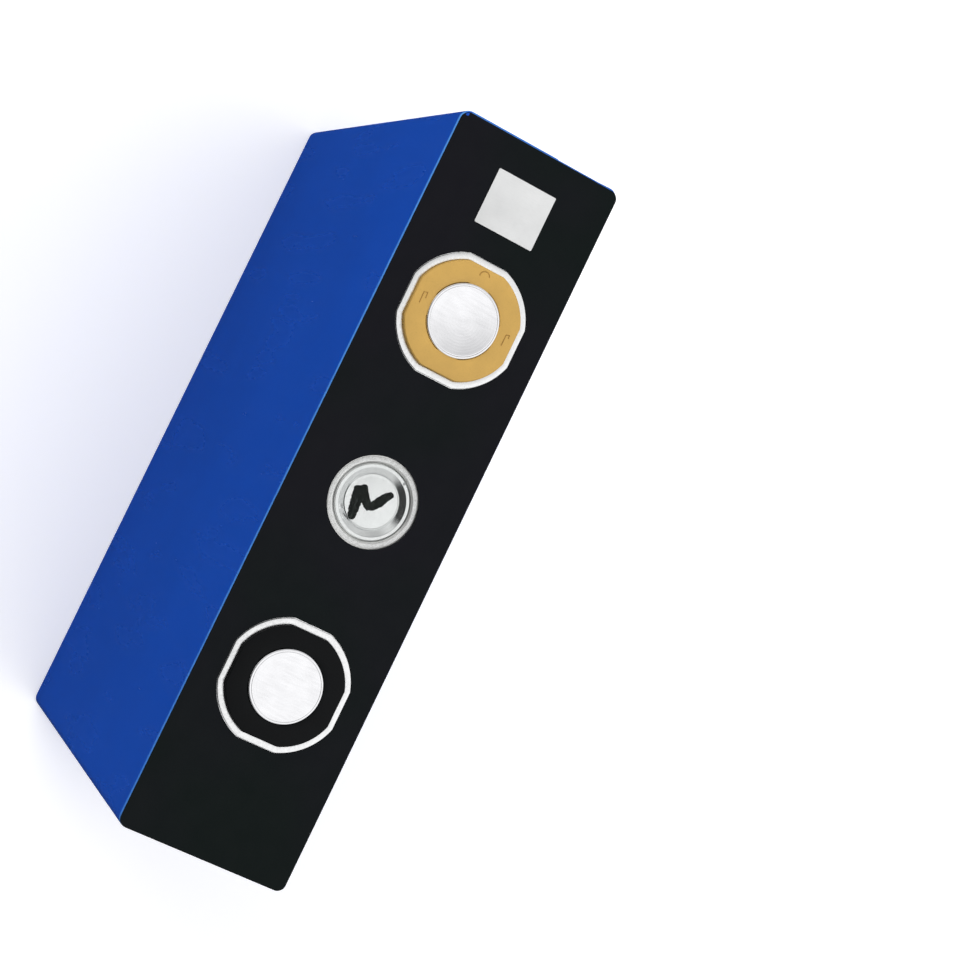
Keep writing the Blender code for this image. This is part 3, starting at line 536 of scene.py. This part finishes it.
def rounded_rectangle(low, high, radius, steps=8):
    """A rectangle between two corners, with its own corners rounded."""
    corners = ((high[0], high[1]), (low[0], high[1]), (low[0], low[1]), (high[0], low[1]))
    inward = ((-1, -1), (1, -1), (1, 1), (-1, 1))
    points = []
    for quarter, (corner, side) in enumerate(zip(corners, inward)):
        centre = (corner[0] + side[0] * radius, corner[1] + side[1] * radius)
        start = quarter * math.pi / 2
        points += arc(centre, radius, start, start + math.pi / 2, steps)
    return points


def flatted_circle(radius, flat, centre, steps=24):
    """A circle cut by four flats, with each flat's ends eased."""
    shy = math.acos(flat / radius)
    points = []
    for quarter in range(4):
        start = quarter * math.pi / 2
        points += arc(centre, radius, start + shy, start + math.pi / 2 - shy, steps)
    return points


def film_outline(inset, long_steps=48, short_steps=12, corner_steps=10):
    """The film's outline seen from above, with a lap on each narrow side, this far inside its outer face."""
    half_x, half_y = BODY[1].x - inset, BODY[1].y - inset
    radius = max(CORNER_RADIUS - inset, 0.4 * MM)
    reach_x, reach_y = half_x - radius, half_y - radius
    points = []
    for side in (1, -1):
        # Up one narrow side, with the rear flap under the front one, and back along one large face.
        points += narrow_side(side, half_x, reach_y, short_steps)
        corner_turn = 0.0 if side == 1 else math.pi
        centre = (side * reach_x, side * reach_y)
        points += arc(centre, radius, corner_turn, corner_turn + math.pi / 2, corner_steps)[1:]
        for i in range(1, long_steps):
            points.append((side * reach_x * (1 - 2 * i / long_steps), side * half_y))
        centre = (-side * reach_x, side * reach_y)
        points += arc(centre, radius, corner_turn + math.pi / 2, corner_turn + math.pi, corner_steps)[:-1]
    return points


def narrow_side(side, half_x, reach_y, steps):
    """Points along one narrow side of the film, with the step where the front flap ends."""
    lap_y = FILM_LAP_PLACE
    ys = [-reach_y + 2 * reach_y * i / steps for i in range(steps + 1)]
    ys = [y for y in ys if abs(y - lap_y) > 0.5 * MM]
    line = [(half_x, y) for y in ys if y < lap_y]
    line.append((half_x, lap_y))
    line.append((half_x - FILM_LAP, lap_y + 0.05 * MM))
    line += [(half_x - FILM_LAP, y) for y in ys if y > lap_y and y < reach_y - 0.5 * MM]
    line.append((half_x, reach_y))
    if side == 1:
        return line
    return [(-x, y) for x, y in reversed(line)]


# --- Pieces -----------------------------------------------------------------------------------------------
def piece(name, bm, finish, replaces=(), angle=35.0):
    """Makes a shaded object of a bmesh, and lets it ride on the cell."""
    bmesh.ops.recalc_face_normals(bm, faces=bm.faces)
    made = add_object(name, bm, finish)
    made.data.shade_smooth()
    made.data.set_sharp_from_angle(angle=math.radians(angle))
    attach(made, "root")
    if replaces:
        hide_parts(*replaces)
    return made


def join_rows(bm, rows):
    """Faces between each closed row of points and the next."""
    for low, high in zip(rows, rows[1:]):
        for i in range(len(low)):
            bm.faces.new((low[i - 1], low[i], high[i], high[i - 1]))


def skin(rings, ends=""):
    """A skin through rings, each (outline, height), with open ends, or ends that are closed or joined."""
    bm = bmesh.new()
    rows = [[bm.verts.new((x, y, z)) for x, y in outline] for outline, z in rings]
    if ends == "closed":
        bm.faces.new(rows[0])
        bm.faces.new(rows[-1])
    join_rows(bm, [*rows, rows[0]] if ends == "joined" else rows)
    return bm


def relief(radii, height, under, centre=(0.0, 0.0), steps=128):
    """A round plate whose top is height(radius, angle) at each radius, closed underneath at one level.

    The first radius may be 0. Otherwise the plate has a hole of that radius.
    """
    bm = bmesh.new()
    turns = [2 * math.pi * i / steps for i in range(steps)]

    def ring(radius, level):
        row = []
        for a in turns:
            z = height(radius, a) if level is None else level
            row.append(bm.verts.new((centre[0] + radius * math.cos(a), centre[1] + radius * math.sin(a), z)))
        return row

    solid = radii[0] == 0
    rows = [ring(r, None) for r in radii if r > 0]
    inner, outer = (radii[1] if solid else radii[0]), radii[-1]
    rows.append(ring(outer, under))
    rows.append(ring(inner, under))
    join_rows(bm, rows)
    if solid:
        for row, level in ((rows[0], height(0.0, 0.0)), (rows[-1], under)):
            tip = bm.verts.new((centre[0], centre[1], level))
            for i in range(steps):
                bm.faces.new((tip, row[i - 1], row[i]))
    else:
        for i in range(steps):
            bm.faces.new((rows[0][i - 1], rows[0][i], rows[-1][i], rows[-1][i - 1]))
    return bm


def filled_plate(outline, holes, base, top):
    """A flat plate with holes of any outline."""
    bm = bmesh.new()
    edges = []
    for points in (outline, *holes):
        ring = [bm.verts.new((x, y, base)) for x, y in points]
        edges += [bm.edges.new((ring[i - 1], ring[i])) for i in range(len(ring))]
    filled = bmesh.ops.triangle_fill(bm, use_beauty=True, edges=edges, normal=(0, 0, 1))
    faces = [item for item in filled["geom"] if isinstance(item, bmesh.types.BMFace)]
    raised = bmesh.ops.extrude_face_region(bm, geom=faces)
    lifted = [item for item in raised["geom"] if isinstance(item, bmesh.types.BMVert)]
    bmesh.ops.translate(bm, verts=lifted, vec=(0, 0, top - base))
    return bm


def ease(made, width):
    """Rounds a piece's sharp edges."""
    bevel = made.modifiers.new("eased_edges", "BEVEL")
    bevel.width, bevel.segments = width, 3
    bevel.limit_method, bevel.angle_limit = "ANGLE", math.radians(40)
    bevel.harden_normals = True


def thicken(made, thickness):
    """Gives a skin a thickness, inwards."""
    shell = made.modifiers.new("film_thickness", "SOLIDIFY")
    shell.thickness, shell.offset = thickness, -1.0


def bell(x, peak, width):
    """A smooth bump of height 1 at its peak."""
    return math.exp(-(((x - peak) / width) ** 2))


def spread(low, high, count):
    """Even steps from low to high."""
    return [low + (high - low) * i / (count - 1) for i in range(count)]


def step(x, start, end):
    """A smooth rise from 0 to 1 between start and end."""
    t = min(1.0, max(0.0, (x - start) / (end - start)))
    return t * t * (3 - 2 * t)


def wrapped(angle):
    """An angle brought between minus and plus half a turn."""
    return (angle + math.pi) % (2 * math.pi) - math.pi


def middle(box):
    """The middle of a box, seen from above."""
    return ((box[0].x + box[1].x) / 2, (box[0].y + box[1].y) / 2)


# --- Film, sheets and label -------------------------------------------------------------------------------
def build_film(finish):
    """The blue film: lapped on the narrow sides, hemmed over the cover and under the foot, slightly wavy."""
    quarter = [i * math.pi / 2 / 8 for i in range(9)]
    low_z, high_z = BODY[0].z, BODY[1].z
    rings = [(film_outline(FOOT_HEM_WIDTH), low_z), (film_outline(4 * MM), low_z)]
    bend = [(FILM_BEND_ACROSS * (1 - math.cos(a)), FILM_BEND_DOWN * (1 - math.sin(a))) for a in quarter]
    rings += [(film_outline(inset), low_z + rise) for inset, rise in reversed(bend)]
    for z in spread(low_z + FILM_BEND_DOWN, high_z - FILM_BEND_DOWN, 42)[1:-1]:
        rings.append((film_outline(0.0), z))
    rings += [(film_outline(inset), high_z - drop) for inset, drop in bend]
    rings.append((film_outline(HEM_WIDTH / 2), high_z))
    rings.append((film_outline(HEM_WIDTH), high_z))
    bm = skin(rings)
    # The large faces dip and swell by less than a tenth of a millimetre.
    face_y = BODY[1].y - 0.01 * MM
    for vert in bm.verts:
        if abs(vert.co.y) < face_y:
            continue
        edge_x = step(BODY[1].x - abs(vert.co.x), 3 * MM, 16 * MM)
        edge_z = step(min(vert.co.z - low_z, high_z - vert.co.z), 1 * MM, 14 * MM)
        wave = 0.5 + 0.5 * noise.noise(vert.co * 28.0 + Vector((0, 5 * vert.co.y, 0)))
        vert.co.y -= math.copysign(FILM_WAVE * wave * edge_x * edge_z, vert.co.y)
    thicken(piece("film_wrap", bm, finish, ["wrap_film"], angle=50), FILM_THICK)


def build_corner_folds(finish):
    """The film's gathered ear at each top corner. The one at the front left stands up most."""
    across, along = 9, 13
    for name, (side_x, side_y, lift) in FOLD_LIFTS.items():
        bm = bmesh.new()
        rows = []
        for i in range(across):
            v = i / (across - 1)
            row = []
            for j in range(along):
                u = j / (along - 1)
                a = math.radians(8 + 74 * u)
                out = (CORNER_RADIUS - 0.25 * MM) - v * (1.1 * MM - 0.5 * MM * abs(2 * u - 1))
                hump = math.sin(math.pi * u) * math.sin(math.pi * (0.15 + 0.7 * v))
                x = side_x * (BODY[1].x - CORNER_RADIUS + out * math.cos(a))
                y = side_y * (BODY[1].y - CORNER_RADIUS + out * math.sin(a))
                z = HEM_TOP + 0.02 * MM + lift * hump
                row.append(bm.verts.new((x, y, z)))
            rows.append(row)
        for low, high in zip(rows, rows[1:]):
            for j in range(along - 1):
                bm.faces.new((low[j], low[j + 1], high[j + 1], high[j]))
        thicken(piece(name, bm, finish, angle=60), FOLD_THICK)


def build_top_sheet(finish):
    """The black sheet with its three windows and softly cut edges."""
    holes = [circle(VENT_WINDOW, steps=144)]
    for sign in SIGNS:
        centre = middle(PADS[sign])
        holes.append(flatted_circle(COLLAR_RADIUS + WINDOW_GAP, COLLAR_FLAT + WINDOW_GAP, centre, 32))
    front_left = (SHEET[0].x, BODY[0].y + SHEET_MARGIN)
    outline = rounded_rectangle(front_left, SHEET[1], SHEET_CORNER, 12)
    bm = filled_plate(outline, holes, SHEET[0].z, SHEET[1].z)
    ease(piece("black_top_sheet", bm, finish, ["top_sheet"], angle=40), 0.09 * MM)


def build_label(finish):
    """The blank label, with its edges just pressed down."""
    low, high = LABEL
    rings = []
    for inset, z in ((0.0, low.z), (0.0, high.z - 0.03 * MM), (0.04 * MM, high.z)):
        near, far = (low.x + inset, low.y + inset), (high.x - inset, high.y - inset)
        rings.append((rounded_rectangle(near, far, 0.3 * MM), z))
    piece("blank_label", skin(rings, "closed"), finish, ["code_label"])


def build_foot_sheet(finish):
    """The sheet that the cell stands on."""
    outline = rounded_rectangle(FOOT[0], FOOT[1], 1.6 * MM, 10)
    bm = filled_plate(outline, [], FOOT[0].z, FOOT[1].z)
    ease(piece("foot_sheet", bm, finish, ["bottom_patch"]), 0.08 * MM)


# --- Cover ------------------------------------------------------------------------------------------------
def build_cover(finish):
    """The cover's plate under the sheet. Its collars and the vent's seat are pieces of their own."""
    low, high = COVER
    near = (low.x + COVER_MARGIN, low.y + COVER_MARGIN)
    far = (high.x - COVER_MARGIN, high.y - COVER_MARGIN)
    outline = rounded_rectangle(near, far, COVER_CORNER)
    fill_radius = (FILL_CAP[1].x - FILL_CAP[0].x) / 2 + 0.1 * MM
    shared = [circle(VENT_SEAT_OUTER, steps=96), circle(fill_radius, middle(FILL_CAP), steps=48)]
    holes = [circle(POLE_HOLE, middle(PADS[sign]), steps=64) for sign in SIGNS]
    floor_z = CUPS["positive"][0].z - 0.3 * MM
    lower = filled_plate(outline, shared + holes, low.z, floor_z)
    piece("cover_lower", lower, finish, ["cover_plate"])
    holes = [flatted_circle(COLLAR_RADIUS, COLLAR_FLAT, middle(PADS[sign])) for sign in SIGNS]
    upper = filled_plate(outline, shared + holes, floor_z + 0.01 * MM, SEAT_TOP)
    piece("cover_upper", upper, finish)


def build_collar(sign, finish):
    """The bright raised collar round an insulator, with rolled edges."""
    low = CUPS[sign][0].z - 0.29 * MM
    top = COVER[1].z
    centre = middle(PADS[sign])
    roll = COLLAR_ROLL
    turns = [i * math.pi / 2 / 4 for i in range(5)]
    rings = []

    def outer(inset, z):
        rings.append((flatted_circle(COLLAR_RADIUS - inset, COLLAR_FLAT - inset, centre), z))

    def inner(inset, z):
        radius, flat = INSULATOR_RADIUS + CLOSE_FIT + inset, INSULATOR_FLAT + CLOSE_FIT + inset
        rings.append((flatted_circle(radius, flat, centre), z))

    outer(0.0, low)
    for a in turns:
        outer(roll * (1 - math.cos(a)), top - roll * (1 - math.sin(a)))
    for a in reversed(turns):
        inner(roll * (1 - math.cos(a)), top - roll * (1 - math.sin(a)))
    inner(0.0, low)
    piece(f"{sign}_collar", skin(rings, "joined"), finish, angle=60)


def build_insulator(sign, finish):
    """The insulator: a cup with a rolled outer edge and a small bevel round the pad."""
    low, high = CUPS[sign]
    centre = middle(CUPS[sign])
    flat, radius = INSULATOR_FLAT, INSULATOR_RADIUS
    bore = (PADS[sign][1].x - PADS[sign][0].x) / 2 + 0.12 * MM
    bevel = INSULATOR_BEVEL
    cup_floor = low.z + 0.5 * MM

    def hole(at):
        """A circle of this radius, with its points where the outer edge has them."""
        turns = [math.atan2(y, x) for x, y in flatted_circle(radius, flat, (0.0, 0.0))]
        return [(centre[0] + at * math.cos(a), centre[1] + at * math.sin(a)) for a in turns]

    rings = [(flatted_circle(radius, flat, centre), low.z)]
    for inset, drop in INSULATOR_EDGE:
        outline = flatted_circle(radius - inset * MM, flat - inset * MM, centre)
        rings.append((outline, high.z - drop * MM))
    rings.append((hole(bore + bevel + 1.2 * MM), high.z))
    rings.append((hole(bore + bevel), high.z))
    rings.append((hole(bore + bevel / 3), high.z - bevel / 3))
    rings.append((hole(bore), high.z - bevel))
    rings.append((hole(bore), cup_floor))
    rings.append((hole(POLE_BORE), cup_floor))
    rings.append((hole(POLE_BORE), low.z))
    cup = skin(rings, "joined")
    piece(f"{sign}_insulator_cup", cup, finish, [f"{sign}_insulator"], angle=50)


def ridge(name, path, base, finish):
    """A low moulded rib along a path of points."""
    bm = bmesh.new()
    rows = []
    for i, point in enumerate(path):
        before, after = path[max(i - 1, 0)], path[min(i + 1, len(path) - 1)]
        along = (Vector(after) - Vector(before)).normalized()
        side = Vector((-along.y, along.x)) * RIB_WIDTH / 2
        crown, top = side * 0.5, base + RIB_HEIGHT
        row = []
        for offset, z in ((side, base), (crown, top), (-crown, top), (-side, base)):
            row.append(bm.verts.new((point[0] + offset.x, point[1] + offset.y, z)))
        rows.append(row)
    join_rows(bm, rows)
    bm.faces.new(rows[0])
    bm.faces.new(rows[-1])
    piece(name, bm, finish, angle=30)


def build_mould_marks(sign, finish):
    """A half-round ejector mark and two short ribs, as a mould leaves them on the insulator's top."""
    centre = Vector(middle(CUPS[sign]))
    base = CUPS[sign][1].z - 0.02 * MM
    spot = centre + Vector((-10.95 * MM, 0.0))
    half_round = arc(spot, 1.15 * MM, math.radians(105), math.radians(285), 24)
    ridge(f"{sign}_ejector_mark", half_round, base, finish)
    ribs = (
        ("front", ((0.8, -10.9), (-1.8, -10.95), (-2.0, -10.1), (-0.7, -10.0))),
        ("rear", ((0.9, 10.4), (-1.75, 10.4), (-1.95, 11.2), (-1.2, 11.2))),
    )
    for name, path in ribs:
        ridge(f"{sign}_{name}_rib", [centre + Vector(at) * MM for at in path], base, finish)


def build_pad(sign, finish):
    """The terminal's pad: a dished weld face inside a fine groove, with a rounded rim."""
    low, high = PADS[sign]
    centre = middle(PADS[sign])
    outer = (high.x - low.x) / 2
    rim = PAD_RIM
    groove = outer - PAD_GROOVE
    radii = [0.0, 0.3 * MM, *spread(1.0 * MM, groove - 0.3 * MM, 14)]
    radii += [*spread(groove - 0.2 * MM, groove + 0.2 * MM, 9), *spread(outer - rim, outer, 8)]
    dish = PAD_DISH[sign]

    def height(radius, _):
        edge = min(1.0, max(0.0, (radius - (outer - rim)) / rim))
        hollow = dish * (1 - (radius / groove) ** 2) if radius < groove else 0.0
        line = 0.04 * MM * bell(radius, groove, 0.08 * MM)
        return high.z - rim * (1 - math.sqrt(1 - edge * edge)) - hollow - line

    bm = relief(radii, height, low.z, centre, 160)
    piece(f"{sign}_pad_turned", bm, finish, [f"{sign}_terminal_pad"], angle=60)


# --- Vent -------------------------------------------------------------------------------------------------
def build_vent(seat_finish, disc_finish, clear, frosted):
    """The vent's seat, its welded disc with a scored dish, and the clear film over both."""
    disc_outer = (VENT[1].x - VENT[0].x) / 2
    seat_inner = disc_outer + 0.12 * MM

    def seat_height(radius, angle):
        bead = bell(radius, VENT_BEAD, 0.22 * MM)
        ripple = 0.75 + 0.25 * math.cos(110 * angle + 2.5 * math.sin(3 * angle))
        fall = 1 - step(radius, seat_inner, seat_inner + 0.35 * MM)
        return SEAT_TOP + 0.07 * MM * bead * ripple - 0.35 * MM * fall

    seat_radii = [*spread(seat_inner, 9.9 * MM, 16), *spread(10.1 * MM, VENT_SEAT_OUTER, 6)]
    bm = relief(seat_radii, seat_height, SEAT_TOP - 1.2 * MM, steps=512)
    piece("vent_seat", bm, seat_finish, angle=40)

    top, bottom = VENT[1].z, VENT[0].z
    dish_top = top - VENT_DISH_DEPTH

    def disc_height(radius, angle):
        wall = min(1.0, max(0.0, (radius - VENT_WALL_START) / VENT_WALL_WIDTH))
        z = dish_top + (top - dish_top) * wall
        lip = bell(radius, VENT_LIP, 0.12 * MM)
        score = bell(radius, VENT_SCORE, 0.09 * MM)
        dome = 1 - min(1.0, radius / VENT_SCORE) ** 2
        z += 0.05 * MM * lip - 0.08 * MM * score + 0.18 * MM * dome
        notch = bell(radius, 8.3 * MM, 0.32 * MM) * bell(wrapped(angle - math.radians(146)), 0.0, 0.03)
        tabs = 0.0
        for at in (-58, -40):
            tab = step(radius, 6.7 * MM, 6.85 * MM) - step(radius, 7.35 * MM, 7.5 * MM)
            tabs += tab * math.exp(-((wrapped(angle - math.radians(at)) / 0.07) ** 4))
        edge = step(radius, 8.45 * MM, disc_outer)
        return z - 0.2 * MM * notch + 0.1 * MM * tabs - 0.3 * MM * edge

    disc_radii = [
        0.0,
        *spread(0.5 * MM, 5.9 * MM, 12),
        *spread(6.0 * MM, 6.6 * MM, 16),
        *spread(6.7 * MM, 7.7 * MM, 10),
        *spread(7.8 * MM, 8.4 * MM, 8),
        *spread(8.45 * MM, disc_outer, 7),
    ]
    bm = relief(disc_radii, disc_height, bottom, steps=256)
    piece("vent_dish", bm, disc_finish, ["vent_disc"], angle=40)

    low_z, high_z = VENT_FILM[0].z, VENT_FILM[1].z
    outer = (VENT_FILM[1].x - VENT_FILM[0].x) / 2

    def film_height(radius, _):
        edge = step(radius, outer - 0.12 * MM, outer)
        return high_z - 0.06 * MM * edge

    rim_radii = spread(VENT_FILM_RIM, outer, 14)
    bm = relief(rim_radii, film_height, low_z, steps=192)
    piece("vent_film_rim", bm, frosted, ["vent_film"], angle=50)
    pane_radii = [0.0, *spread(0.6 * MM, VENT_FILM_RIM - 0.02 * MM, 14)]
    bm = relief(pane_radii, lambda radius, _: high_z - 0.03 * MM, low_z + 0.04 * MM, steps=192)
    piece("vent_film_pane", bm, clear, angle=50)


def pen_stroke(name, path, widths, level, finish):
    """A felt-pen stroke: a thin layer of ink along a path of points, with round ends."""
    bm = bmesh.new()
    steps = 28
    spans = len(path) - 1
    left, right = [], []
    for i in range(steps + 1):
        at = spans * i / steps
        low = min(int(at), spans - 1)
        t = at - low
        before, after = Vector(path[low]), Vector(path[low + 1])
        far_before = Vector(path[max(low - 1, 0)])
        far_after = Vector(path[min(low + 2, spans)])
        ahead = (after - far_before) * (1 - t) + (far_after - before) * t
        point = before * (1 - t) ** 2 * (1 + 2 * t) + after * t**2 * (3 - 2 * t)
        point += ((after - far_before) * t * (1 - t) ** 2 - (far_after - before) * t**2 * (1 - t)) / 2
        end = min(1.0, min(i, steps - i) / 3)
        taper = math.sqrt(1 - (1 - end) ** 2)
        ragged = 1 + 0.06 * math.sin(2.3 * i) + 0.04 * math.sin(5.1 * i + 1)
        width = (widths[low] * (1 - t) + widths[low + 1] * t) * max(taper, 0.12) * ragged
        side = Vector((-ahead.y, ahead.x)).normalized() * width / 2
        left.append((point + side) * MM)
        right.append((point - side) * MM)
    outline = left + right[::-1]
    rows = [[bm.verts.new((p.x, p.y, z)) for p in outline] for z in (level, level + INK_THICK)]
    join_rows(bm, rows)
    for row in rows:
        for i in range(steps):
            bm.faces.new((row[i], row[i + 1], row[-2 - i], row[-1 - i]))
    piece(name, bm, finish, angle=30)


def build_pen_mark(finish):
    """An inspector's zigzag in black felt pen on the vent's dish."""
    level = VENT[1].z - VENT_DISH_DEPTH + 0.2 * MM
    strokes = (
        ("down", ((5.5, -2.6), (3.3, -3.0), (0.8, -3.4), (-2.2, -4.0)), (1.3, 2.3, 2.6, 2.4)),
        ("across", ((-2.7, -3.4), (-0.7, -2.2), (0.9, -0.7), (1.6, 0.5)), (1.8, 2.1, 2.0, 1.7)),
        ("up", ((1.7, -0.1), (-0.6, 1.6), (-2.3, 2.6), (-3.6, 3.8)), (1.6, 2.3, 1.9, 1.2)),
    )
    for i, (name, path, widths) in enumerate(strokes):
        pen_stroke(f"pen_mark_{name}", path, widths, level + 0.03 * MM * i, finish)


# --- Carried-over CAD nodes -------------------------------------------------------------------------------
def paint(node, finish):
    """Gives a CAD node that keeps its shape a better material."""
    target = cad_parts[node]
    if not target.material_slots:
        target.data.materials.append(finish)
    for slot in target.material_slots:
        slot.link = "OBJECT"
        slot.material = finish


def paint_inside(metals, rubber, white, amber, green, clear):
    """Materials for everything inside the can."""
    paint("can", metals["drawn"])
    paint("fill_plug", rubber)
    paint("fill_cap", metals["cover"])
    paint("core_sleeve", clear)
    paint("core_tray", white)
    for sign in SIGNS:
        metal = metals["plate"] if sign == "positive" else metals["copper"]
        for node in (f"{sign}_pole", f"{sign}_connector", f"front_{sign}_tab", f"rear_{sign}_tab"):
            paint(node, metal)
        paint(f"{sign}_seal", rubber)
        paint(f"{sign}_lower_insulator", white)
        paint(f"{sign}_tab_tape", amber)
    for roll in ("front", "rear"):
        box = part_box(f"{roll}_roll")
        half_y = (box[1].y - box[0].y) / 2
        paint(f"{roll}_roll", winding_look((box[0].y + box[1].y) / 2, box[1].x - half_y))
        paint(f"{roll}_roll_tape", green)


def main():
    bpy.context.scene.view_settings.view_transform = "Standard"
    build_camera()
    build_world()
    build_floor(stage_look("floor", 0.3))
    build_backdrop(stage_look("backdrop", 0.6))
    for softbox in SOFTBOXES:
        area_light(*softbox)

    film = blue_film_look()
    cover = metal_look("cover_aluminium", (0.95, 0.955, 0.96), 0.3, 0.5 * MM)
    metals = {
        "cover": cover,
        "drawn": metal_look("can_aluminium", (0.72, 0.73, 0.74), 0.35, 0.4 * MM, (1, 1, 0.05)),
        "plate": metal_look("rolled_aluminium", (0.80, 0.81, 0.82), 0.3, 0.3 * MM, (0.1, 1, 1)),
        "copper": metal_look("copper", (0.80, 0.40, 0.24), 0.3, 0.3 * MM, (0.1, 1, 1), 0.1),
    }
    seat = metal_look("vent_seat_aluminium", (0.80, 0.80, 0.785), 0.4, 0.3 * MM, mottle=0.16)
    disc = metal_look("vent_aluminium", (0.75, 0.77, 0.765), 0.16, 0.6 * MM)
    plastics = {
        "positive": plastic_look("tan_plastic", (0.585, 0.358, 0.092), 0.05, 0.45),
        "negative": plastic_look("black_plastic", (0.0045, 0.0050, 0.0056), 0.1, 0.42, 0.08),
    }
    clear = clear_film_look("clear_film", 0.003)
    frosted = clear_film_look("frosted_film", 0.35)

    build_film(film)
    build_corner_folds(film)
    build_top_sheet(black_sheet_look())
    build_label(label_look())
    build_foot_sheet(film)
    build_cover(cover)
    for sign in SIGNS:
        build_collar(sign, cover)
        build_insulator(sign, plastics[sign])
        centre = Vector((*middle(PADS[sign]), 0.0))
        build_pad(sign, turned_look(f"{sign}_turned_aluminium", (0.93, 0.93, 0.95), 0.2, centre))
    # The mould marks get a darker tan: painted shade for the shadow lines that the raised ribs would cast.
    build_mould_marks("positive", plastic_look("painted_shade_tan_plastic", (0.36, 0.20, 0.045), 0.1, 0.5))
    build_vent(seat, disc, clear, frosted)
    build_pen_mark(pen_ink_look())
    paint_inside(
        metals,
        rubber_look(),
        plastic_look("white_plastic", (0.78, 0.78, 0.75), 0.04, 0.5),
        tape_look("amber_tape", (0.55, 0.25, 0.03)),
        tape_look("green_tape", (0.03, 0.30, 0.16)),
        clear_film_look("sleeve_film", 0.25),
    )


main()
